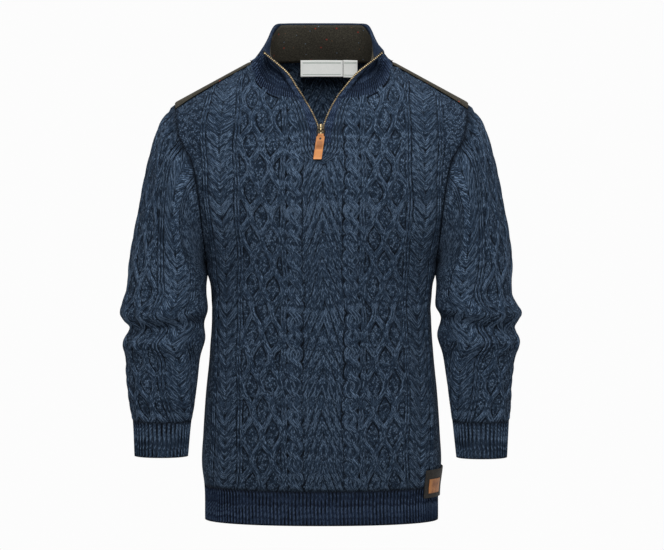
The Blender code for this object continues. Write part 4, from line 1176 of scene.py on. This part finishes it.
def make_teeth(side, climb, gone, finish):
    """A row of metal teeth: each grips the tape's edge and ends in a rounded head."""
    count = int(gone[-1] / TOOTH_PITCH)
    middles = np.interp((np.arange(count) + 0.5) * gone[-1] / count, gone, climb)
    nudge = 0.004
    spot = zip_line(side, middles, np.full(count, -TEETH_WIDTH / 2))
    ahead = unit(zip_line(side, middles + nudge, np.zeros(count))
                 - zip_line(side, middles - nudge, np.zeros(count)))
    to_knit = unit(zip_line(side, middles, np.full(count, 0.002)) - spot)
    face_out = unit(np.cross(ahead, to_knit))
    face_out = face_out * np.sign(-face_out[0, 1])
    # across the tape, half length along it, half thickness: root, waist, head, tip
    profile = np.array([(1.0, 0.26, 0.80), (0.55, 0.31, 1.00), (-0.1, 0.31, 1.0),
                        (-0.7, 0.29, 0.85), (-1.0, 0.18, 0.50)])
    corner = np.radians(np.arange(8) * 45 + 22.5)
    shape_a, shape_b = np.cos(corner), np.sin(corner)
    sunk = TEETH_SUNK + TEETH_DEEP / 2
    verts = (spot[:, None, None] - face_out[:, None, None] * sunk
             + to_knit[:, None, None] * (profile[:, 0] * TEETH_WIDTH / 2)[None, :, None, None]
             + ahead[:, None, None] * (profile[:, 1:2] * TOOTH_PITCH * shape_a)[None, ..., None]
             + face_out[:, None, None]
             * (profile[:, 2:] * TEETH_DEEP / 2 * shape_b)[None, ..., None])
    ids = np.arange(count * 40).reshape(count, 5, 8)
    walls = quads(np.concatenate([ids, ids[..., :1]], axis=-1))
    caps = np.concatenate([ids[:, 0, ::-1], ids[:, -1]])
    teeth = add_piece(f"zip_teeth_{side}", verts.reshape(-1, 3), [walls, caps], finish,
                      smooth=False)
    face_outwards(teeth)
    place(teeth, f"zip_chain_{side}", "zip_brass")


# ---------------- the leather pull tab
def cloth_frame():
    """The slider's middle on the cloth, and the way down along the cloth there."""
    middle, below = (on_front(np.array(SLIDER_X), z) for z in (SLIDER_Z, SLIDER_Z - PIN))
    return middle, unit(below - middle)


def above_cloth(right, down, out):
    """A point that keeps its distance from the cloth as the cloth curves away below."""
    middle, down_axis = cloth_frame()
    x = middle[0] + right
    z = middle[2] + down * down_axis[2] + 0 * right
    on_cloth, below = on_front(x, z), on_front(x, z - PIN)
    out_axis = unit(np.cross((1.0, 0.0, 0.0), on_cloth - below))
    return on_cloth + out_axis * out[..., None]


def make_tab(finish):
    """The leather strip, folded round the link's bar and lying along the cloth.

    Its middle line starts at the fold's end behind, climbs to the bar, goes round it
    and runs down in front. The foot end lifts in a small curl.
    """
    half = TAB_LEATHER / 2
    bar = PIN_DOWN + LINK_LONG
    ring = TAB_TOP_CLEAR + half
    behind = TAB_CLEAR + half
    front = behind + TAB_LEATHER + SEAM
    turn = np.radians([260, 225, 180, 135, 100])
    down = np.concatenate([
        bar + np.array([1.0, 0.35]) * TAB_FOLD, bar + ring * np.cos(turn),
        bar + np.array([0.35, 1.0, 1.3]) * TAB_FOLD, [bar + 0.9 * TAB_LONG, bar + TAB_LONG]])
    out = np.concatenate([
        [behind, behind], PIN_HIGH + ring * np.sin(turn),
        [front + half, front, behind + half, behind + 0.0002, behind + 0.0012]])
    knots = np.arange(len(down), dtype=float)
    fine = np.linspace(0, knots[-1], 160)
    down, out = smooth(knots, down, fine), smooth(knots, out, fine)
    inside_link = ease((fine - 1.2) / 0.5) * ease((6.6 - fine) / 0.35)
    width = mix(TAB_WIDE, TAB_NECK, inside_link)
    end = np.clip((fine - fine[-1] + 0.25) / 0.25, 0, 1)
    width = width - 0.0022 * end ** 3
    share = np.linspace(-1, 1, 15)
    right = share / 2 * width[:, None] + TAB_LEAN * np.maximum(down - bar, 0)[:, None]
    belly = 0.0003 * (1 - share ** 2)
    spine = above_cloth(*np.broadcast_arrays(right, down[:, None], out[:, None] + belly))
    square = normals(spine)
    edge = np.sqrt(np.clip(1 - share ** 8, 0, 1))[:, None]
    near, far = spine + square * half * (0.45 + 0.55 * edge), spine - square * half
    spots = points(right * 1000, (down[:, None] - bar) * 1000, share)
    tab = skin("leather_tab_strip", folded_lines(near, far)[::-1], finish,
               spot=folded_lines(spots, spots)[::-1])
    place(tab, "leather_tab", "leather", body="puller")


# ---------------- patches and labels
PATCH_BACK = 0.0012         # how far a patch's back lies out from the body's own surface
PATCH_FACE = 0.0018         # and its face, at the edges,
PATCH_PUFF = 0.0009         # and how much higher it is inside them


def on_panel(face, side, rows, turn):
    """Points of the panel at any rows and turns, given as equal arrays."""
    return np.stack([panel_half(face, side, rows[:, j], turn[:1, j])[:, 0]
                     for j in range(turn.shape[1])], axis=1)


def make_patches(finish):
    """Tweed sewn over each shoulder seam, with its edges turned under."""
    turn = np.linspace(60.3, 89.6, 33)[None]
    t = (turn - 60) / 30
    front_foot = mix(PATCH_FRONT_NECK, PATCH_FRONT_SLEEVE, t**3)
    for side in SIDES:
        front = np.concatenate([mix(front_foot, 1 + 0 * turn, s) for s in (0, 0.35, 0.7)])
        back = np.concatenate([mix(1 + 0 * turn, PATCH_BACK_FOOT + 0 * turn, s)
                               for s in np.linspace(0, 1, 19)])
        grid = np.concatenate([on_panel("front", side, front, turn + 0 * front),
                               on_panel("back", side, back, turn + 0 * back)])
        if side == "right":
            grid = grid[:, ::-1]
        square = -normals(grid)     # the columns run to the left here
        hem = edge_fade(grid.shape[:2], 1.2, 1.2)
        near = grid + square * (PATCH_FACE + PATCH_PUFF * hem)[..., None]
        far = grid + square * PATCH_BACK
        patch = skin(f"shoulder_patch_{side}_tweed", folded(near, far), finish)
        face_outwards(patch)
        cloth(patch, f"shoulder_patch_{side}", "tweed")


def make_neck_labels(finish):
    """Two woven labels inside the back of the neck, hanging from the collar's seam."""
    for name, left, right, foot, head in (
            ("neck_label", -0.0318, 0.0323, -0.0275, -0.0020),
            ("size_label", 0.0330, 0.0543, -0.0285, -0.0015)):
        x, z = np.meshgrid(np.linspace(left, right, 41), np.linspace(foot, head, 17))
        top = depth("back", x, 0 * x + head)
        hung = mix(top, depth("back", x, z), 0.25)
        wave = 0.0005 * np.sin(x * 160 + 1) * np.clip((head - z) / 0.02, 0, 1)
        near = points(x, hung - CABLE_KNIT - 0.0036 - np.abs(wave), z)
        far = near + np.array([0.0, LABEL * 0.7, 0.0])
        spots = points((x - left) / (right - left), (z - foot) / (head - foot), 0)
        label = skin(name + "_woven", folded(near, far), finish, spot=folded(spots, spots))
        face_outwards(label)
        cloth(label, name, "white_label")


def make_side_label(label_finish, leather_finish):
    """A woven label that wraps the left side seam of the wearer, with a leather patch."""
    def wrap(turn, heights, near, far):
        """The near and far side of a piece round the side seam, at two distances out."""
        x = round_share(turn) * read(BODY, "width", heights)[:, None]
        z = heights[:, None] + 0 * x
        grid = points(x, np.where(turn < 90, -depth("front", x, z), depth("back", x, z)), z)
        return grid + normals(grid) * near, grid + normals(grid) * far

    turn = np.concatenate([np.linspace(58.0, 89.9, 29), np.linspace(90.1, 104.0, 9)])
    near, far = wrap(turn, np.linspace(LABEL_FOOT, LABEL_HEAD, 31), 0.0022, 0.0014)
    label = skin("side_label_woven", folded(near, far), label_finish)
    face_outwards(label)
    cloth(label, "side_label", "black_label")
    turn = np.linspace(62.5, 78.5, 25)
    heights = np.linspace(-0.6480, -0.6262, 25)
    near, far = wrap(turn, heights, 0.0034, 0.0023)
    hem = edge_fade(near.shape[:2], 1.5, 1.5)[..., None]
    near = far + (near - far) * (0.4 + 0.6 * hem)
    spots = points(turn * 2.2, heights[:, None] * 1000, 0)
    patch = skin("side_label_leather_patch", folded(near, far), leather_finish,
                 spot=folded(spots, spots))
    face_outwards(patch)
    place(patch, "side_label_leather", "leather")


# ---------------- materials
class Recipe:
    """Adds shader nodes to a tree. What a new node gives comes back as a signal."""

    def __init__(self, tree):
        self.tree = tree

    def node(self, kind, **settings):
        new = self.tree.nodes.new(kind)
        for key, value in settings.items():
            setattr(new, key, value)
        return new

    def feed(self, sockets, **values):
        """Links signals to the named sockets, and sets plain values on them."""
        for key, value in values.items():
            self.put(sockets[key], value)

    def put(self, socket, value):
        value = getattr(value, "socket", value)
        if isinstance(value, bpy.types.NodeSocket):
            self.tree.links.new(value, socket)
        elif socket.type == "RGBA":
            socket.default_value = (*value, 1)
        else:
            socket.default_value = value

    def from_node(self, kind, output, inputs=(), **settings):
        """One output of a new node, whose inputs are given as pairs or in their order."""
        new = self.node(kind, **settings)
        pairs = inputs.items() if isinstance(inputs, dict) else enumerate(inputs)
        for key, value in pairs:
            self.put(new.inputs[key], value)
        return Signal(self, new.outputs[output])

    def attribute(self, name, output="Fac"):
        return self.from_node("ShaderNodeAttribute", output, attribute_name=name)

    def spot(self):
        return self.from_node("ShaderNodeTexCoord", "Object")

    def split(self, vector):
        new = self.node("ShaderNodeSeparateXYZ")
        self.put(new.inputs[0], vector)
        return [Signal(self, socket) for socket in new.outputs]

    def places(self, name):
        """The three numbers that a piece's mesh holds for each point."""
        return self.split(self.attribute(name, "Vector"))

    def vector(self, operation, *values):
        return self.from_node("ShaderNodeVectorMath", 0, values, operation=operation)

    def math(self, operation, *values):
        return self.from_node("ShaderNodeMath", 0, values, operation=operation)

    def noise(self, scale, detail=2.0, rough=0.5, stretch=None):
        spot = self.spot()
        if stretch is not None:
            spot = self.vector("MULTIPLY", spot, stretch)
        return self.from_node("ShaderNodeTexNoise", "Fac", {
            "Vector": spot, "Scale": scale, "Detail": detail, "Roughness": rough})

    def cells(self, scale, output, spot):
        return self.from_node("ShaderNodeTexVoronoi", output, {"Vector": spot, "Scale": scale})

    def ramp(self, value, low, high, to_low=0.0, to_high=1.0):
        return self.from_node("ShaderNodeMapRange", 0, (value, low, high, to_low, to_high),
                              interpolation_type="SMOOTHSTEP")

    def blend(self, share, first, second):
        return self.from_node("ShaderNodeMix", 2, {0: share, 6: first, 7: second},
                              data_type="RGBA")

    def bump(self, height, distance, strength=1.0):
        return self.from_node("ShaderNodeBump", "Normal", {
            "Strength": strength, "Distance": distance, "Height": height})


def group(name, inputs, outputs):
    """A node group: its tree, a recipe that fills it, its inputs as signals, its outputs."""
    tree = bpy.data.node_groups.new(name, "ShaderNodeTree")
    for way, sockets in (("INPUT", inputs), ("OUTPUT", outputs)):
        for label, kind in sockets.items():
            tree.interface.new_socket(label, in_out=way, socket_type="NodeSocket" + kind)
    make = Recipe(tree)
    given = make.node("NodeGroupInput").outputs
    given = [Signal(make, given[label]) for label in inputs]
    return tree, make, given, make.node("NodeGroupOutput").inputs


def use(make, tree, **values):
    """The outputs of a group, by label."""
    new = make.node("ShaderNodeGroup", node_tree=tree)
    make.feed(new.inputs, **values)
    return {socket.name: Signal(make, socket) for socket in new.outputs}


def finish(name, rough, metal=0.0, gloss=0.5, sheen=0.0, sheen_tint=(1, 1, 1)):
    """A new material: its recipe, its Principled shader's inputs, and itself."""
    mat = bpy.data.materials.new(name)
    mat.use_nodes = True
    make, shader = Recipe(mat.node_tree), mat.node_tree.nodes["Principled BSDF"].inputs
    make.feed(shader, **{
        "Roughness": rough, "Metallic": metal, "Specular IOR Level": gloss,
        "Sheen Weight": sheen, "Sheen Tint": sheen_tint, "Sheen Roughness": 0.45})
    return make, shader, mat


def times(colour, factor):
    return tuple(factor * channel for channel in colour)


def chart_group(name):
    """The heights, distances and cords of a chart, worked out from a point's places."""
    labels = ("Height", "Across", "Cord")
    tree, make, _, out = group(name + " chart", {}, dict.fromkeys(labels, "Float"))
    make.feed(out, **dict(zip(labels, CHARTS[name](*make.places("chart")))))
    return tree


def stitches_group():
    """Knit stitches: pairs of slanted legs along cords, and small bumps on the ground.

    Each leg or bump is one cell of a grid. On a cord the cells slant up and out from the
    middle of their column, by the distance from it. Two slow noises make them uneven.
    Tone is one random number for each cell, and Gap marks the painted shade between
    stitches.
    """
    inputs = dict.fromkeys(("Across", "Along", "Cord", "Wale", "Course"), "Float")
    outputs = dict.fromkeys(("Height", "Gap", "Tone"), "Float")
    tree, make, given, out = group("knit stitches", inputs, outputs)
    across, along, on_cord, wale, course = given
    wander = make.noise(150, 1.0) - 0.5
    drift = (make.noise(115, 1.0, stretch=(1.0, 1.0, 0.22)) - 0.5) * 4.5
    column = across / wale + wander * 0.5
    leaning = size(part(column) - 0.5) * 2.3
    row = along / course * 1.15 + wander * 1.4 + drift
    brick = (row - part(row)) * 0.5
    cell_u = choose(on_cord, across / wale * 1.35 + wander * 1.6 + brick, column * 2.0)
    cell_v = choose(on_cord, row, along / course + wander * 0.8 + drift - leaning)
    off_u, off_v = part(cell_u) - 0.5, part(cell_v) - 0.5
    height = (1 - off_u * off_u * 4.0) * (1 - off_v * off_v * 3.2)
    corner = make.from_node("ShaderNodeCombineXYZ", 0, (cell_u - part(cell_u),
                                                        cell_v - part(cell_v)))
    tone = make.from_node("ShaderNodeTexWhiteNoise", "Value", {"Vector": corner},
                          noise_dimensions="2D")
    make.feed(out, Height=height, Gap=make.ramp(height, 0.08, 0.80, 1.0, 0.0), Tone=tone)
    return tree


def marl_group():
    """Flecked yarn colour: a tone for each stitch, light and dark fibres, uneven patches."""
    tree, make, given, out = group(
        "marl yarn", {"Stitch": "Float", "Dark": "Color", "Mid": "Color", "Light": "Color"},
        {"Colour": "Color", "Fibre": "Float"})
    stitch, dark, mid, light = given
    fine = make.noise(900, 2.0, 0.6, (1.0, 1.0, 0.5))
    clump = make.noise(260, 2.0, 0.6, (1.0, 1.0, 0.7)) - 0.5
    patch = make.noise(24) - 0.5
    tone = (fine - 0.5) * 1.0 + clump * 0.6 + patch * 0.15 + (stitch - 0.5) * 0.85 + 0.5
    colour = make.blend(make.ramp(tone, 0.22, 0.52), dark, mid)
    make.feed(out, Colour=make.blend(make.ramp(tone, 0.48, 0.86), colour, light), Fibre=fine)
    return tree


HOLLOW_SHADE = 0.12               # share of the dark tone that painted shade goes down to in hollows and between stitches


def knit_finish(name, groups, chart, colours, wale, course, gaps=0.80):
    """Wool: marl colour, with painted shade in the hollows, between stitches and on the rims,
    and a soft nap.
    """
    make, shader, mat = finish(name, 0.92, gloss=0.08, sheen=0.05, sheen_tint=(0.45, 0.65, 1.0))
    dark, mid, light = colours
    knit = use(make, groups[chart])
    stitch = use(make, groups["stitches"], Across=knit["Across"], Along=make.places("chart")[1],
                 Cord=knit["Cord"], Wale=wale, Course=course)
    yarn = use(make, groups["marl"], Stitch=stitch["Tone"], Dark=dark, Mid=mid, Light=light)
    # Painted shade in the hollows of the relief: darkest where the chart is lowest, uneven by a
    # slow noise.
    uneven = make.ramp(make.noise(48), 0.36, 0.64, 0.38, 1.08)
    deep = make.ramp(knit["Height"], -1.1, 0.6, 0.92, 0.0) * uneven
    # Painted shade between stitches and on the rims, taken together as the share left open.
    open_share = (1 - deep) * (1 - stitch["Gap"] * gaps) * (1 - make.attribute("rim") * 0.8)
    colour = make.blend(smaller(1 - open_share, 1.0), yarn["Colour"], times(dark, HOLLOW_SHADE))
    nap = stitch["Height"] * 0.70 + knit["Height"] * 0.80 + yarn["Fibre"] * 0.35
    make.feed(shader, **{"Base Color": colour, "Normal": make.bump(nap, 0.001)})
    return mat


# Flecks of the tweed: colour, radius as a share of a cell, and cells for each metre.
FLECKS = [((0.35, 0.045, 0.03), 0.17, 125.0), ((0.20, 0.30, 0.42), 0.11, 150.0),
          ((0.30, 0.13, 0.05), 0.12, 170.0), ((0.34, 0.31, 0.25), 0.08, 210.0)]


def tweed_finish(name, dark, light):
    """Woven wool: a fine uneven weave in two near tones, with bright flecks."""
    make, shader, mat = finish(name, 0.95, gloss=0.15, sheen=0.06, sheen_tint=(0.9, 0.8, 0.6))
    weave, clump = make.noise(1500, 2.0, 0.6), make.noise(500, 2.0, 0.6)
    wobble = make.noise(160, 1.0) * 0.06
    colour = make.blend(make.ramp(weave * 0.6 + clump * 0.4, 0.38, 0.64), dark, light)
    for index, (fleck, radius, scale) in enumerate(FLECKS):
        moved = make.vector("ADD", make.spot(), (0.13 * index, 0.07 * index, 0.05 * index))
        near = make.cells(scale, "Distance", moved) + wobble
        pick = make.split(make.cells(scale, "Color", moved))[0]
        mask = make.ramp(near, radius, radius + 0.05, 1.0, 0.0) * make.ramp(pick, 0.80, 0.82)
        colour = make.blend(mask * 0.85, colour, fleck)
    make.feed(shader, **{"Base Color": colour, "Normal": make.bump(weave, 0.0005, 0.7)})
    return mat


def leather_finish(name, colour, deep):
    """Tan leather: fine grain and pores. On the tab, a hole painted near black as shade, a
    darker middle, and a painted highlight on the curled foot end.

    Spot is mm to the right of the tab's middle, mm down from its bar, and the share of
    its half width. On the label's patch mm down is below zero, so it has no hole.
    """
    make, shader, mat = finish(name, 0.46, gloss=0.4)
    right, down, edge = make.places("spot")
    tone = make.blend(make.ramp(make.noise(90, 3.0, 0.6), 0.25, 0.60), deep, colour)
    # A darker middle down the tab, away from its edges.
    middle_darker = 1 - make.ramp(size(down - 15.0), 4.5, 7.5)
    middle_darker = middle_darker * (1 - make.ramp(size(edge), 0.55, 0.85)) * 0.65
    tone = make.blend(middle_darker, tone, deep)
    # Painted highlight: the curled foot end is lighter.
    tone = make.blend(make.ramp(down, 20.0, 23.0) * 0.55, tone, times(colour, 1.45))
    # Painted shade: the hole is a near-black disc, and the leather is not cut.
    right, below = right - down * TAB_LEAN, down - 5.2
    hole = make.ramp(root(right * right + below * below), 1.4, 1.9, 1.0, 0.0)
    tone = make.blend(hole * above(down, 0.0), tone, (0.02, 0.012, 0.008))
    grain = make.noise(1500, 3.0, 0.6)
    pores = make.cells(900, "Distance", make.spot())
    make.feed(shader, **{
        "Base Color": tone, "Normal": make.bump(pores + grain * 0.6, 0.0002, 0.4),
        "Roughness": make.ramp(grain, 0.3, 0.7, 0.42, 0.62)})
    return mat


def brass_finish(name, bright, aged, share, ridge=None):
    """Brass: bright where it is rubbed, and a painted highlight along the ridge at one x;
    brown elsewhere.
    """
    make, shader, mat = finish(name, 0.38, metal=1.0)
    rubbed = make.ramp(make.noise(420, 3.0, 0.6), share - 0.14, share + 0.14)
    if ridge is not None:
        # Painted highlight: a bright band along the slider's ridge, added to the rubbed wear.
        off = size(make.split(make.spot())[0] - ridge)
        rubbed = smaller(rubbed * 0.25 + make.ramp(off, 0.0003, 0.0009, 1.0, 0.0), 1.0)
    make.feed(shader, **{
        "Base Color": make.blend(rubbed, aged, bright),
        "Roughness": make.ramp(rubbed, 0.0, 1.0, 0.55, 0.36),
        "Normal": make.bump(make.noise(1500), 0.0002, 0.3)})
    return mat


THREADS = 9000.0            # radians of weave for each metre: a thread every 0.7 mm


def woven_finish(name, ground, thread, stripe=None):
    """A woven label or tape: fine warp and weft, and thin plain lines where it has them."""
    make, shader, mat = finish(name, 0.7, gloss=0.25)
    x, _, z = make.split(make.spot())
    weave = sine(x * THREADS) * sine(z * THREADS)
    colour = make.blend(make.ramp(make.noise(300), 0.3, 0.7), ground, thread)
    if stripe is not None:
        u, v, _ = make.places("spot")
        lines = 0.0
        for low, high in ((0.13, 0.165), (0.80, 0.825), (0.865, 0.89)):
            lines = larger(lines, above(v, low) * above(high, v))
        inner = above(u, 0.05) * above(0.95, u)
        colour = make.blend(lines * inner * 0.7, colour, stripe)
    make.feed(shader, **{"Base Color": colour, "Normal": make.bump(weave, 0.00004, 0.5)})
    return mat


def plain_finish(name, colour, rough):
    make, shader, mat = finish(name, rough)
    make.feed(shader, **{"Base Color": colour})
    return mat


# ---------------- the whole scene
def make_floor():
    mesh = bpy.data.meshes.new("floor")
    half, low = 1.5, -1.1
    corners = [(x * half, y * half, low) for x, y in ((-1, -1), (1, -1), (1, 1), (-1, 1))]
    mesh.from_pydata(corners, [], [(0, 1, 2, 3)])
    mesh.materials.append(plain_finish("pale floor", (0.9, 0.9, 0.9), 0.9))
    add_object("floor", mesh)


def main():
    bpy.context.scene.view_settings.view_transform = "Standard"
    make_camera()
    make_lamp("key", spot=(0.06, -1.00, 0.82), size=0.8, watts=16.5, target=(0, 0, -0.25))
    make_world(lit=0.37, seen=0.975)
    make_floor()
    groups = {name: chart_group(name) for name in CHARTS}
    groups["stitches"], groups["marl"] = stitches_group(), marl_group()
    navy = (0.019, 0.034, 0.060), (0.046, 0.078, 0.132), (0.122, 0.184, 0.280)
    blue = (0.013, 0.024, 0.052), (0.031, 0.053, 0.108), (0.078, 0.122, 0.214)
    # Painted light: the sleeves and cuffs get a lighter copy of the body's navy, the wool being
    # the same.
    pale = [times(colour, 1.13) for colour in navy]
    body = knit_finish("cable knit wool of body", groups, "body", navy, WALE, COURSE)
    arms = knit_finish("cable knit wool of sleeves with painted light", groups, "sleeve", pale, WALE, COURSE)
    rib, cuffs = (
        knit_finish(name, groups, "rib", colours, RIB_WALE, RIB_COURSE, gaps=0.45)
        for name, colours in (("rib knit wool", blue), ("rib knit wool of cuffs with painted light", pale)))
    tweed = tweed_finish("charcoal tweed", (0.024, 0.022, 0.017), (0.078, 0.071, 0.055))
    leather = leather_finish("tan leather", (0.51, 0.205, 0.064), (0.25, 0.088, 0.028))
    brass = brass_finish("rubbed brass", (0.60, 0.47, 0.27), (0.22, 0.17, 0.10), 0.48)
    aged = brass_finish("aged brass", (0.26, 0.20, 0.11), (0.040, 0.033, 0.022), 0.62,
                        ridge=SLIDER_X)
    tape = woven_finish("black zip tape", (0.012, 0.011, 0.010), (0.030, 0.027, 0.024))
    white = woven_finish("white woven label", (0.97, 0.98, 0.95), (0.93, 0.95, 0.92),
                         stripe=(0.10, 0.20, 0.14))
    black = woven_finish("black woven label", (0.014, 0.012, 0.010), (0.032, 0.028, 0.024))
    make_panels(body)
    make_sleeves(arms, cuffs)
    make_hem(rib)
    make_collar(rib, tweed)
    make_zip(rib, tape, brass)
    for node in ("zip_slider", "pull_link"):
        for slot in bpy.data.objects[node].material_slots:
            slot.material = aged
    make_tab(leather)
    make_patches(tweed)
    make_neck_labels(white)
    make_side_label(black, leather)


main()
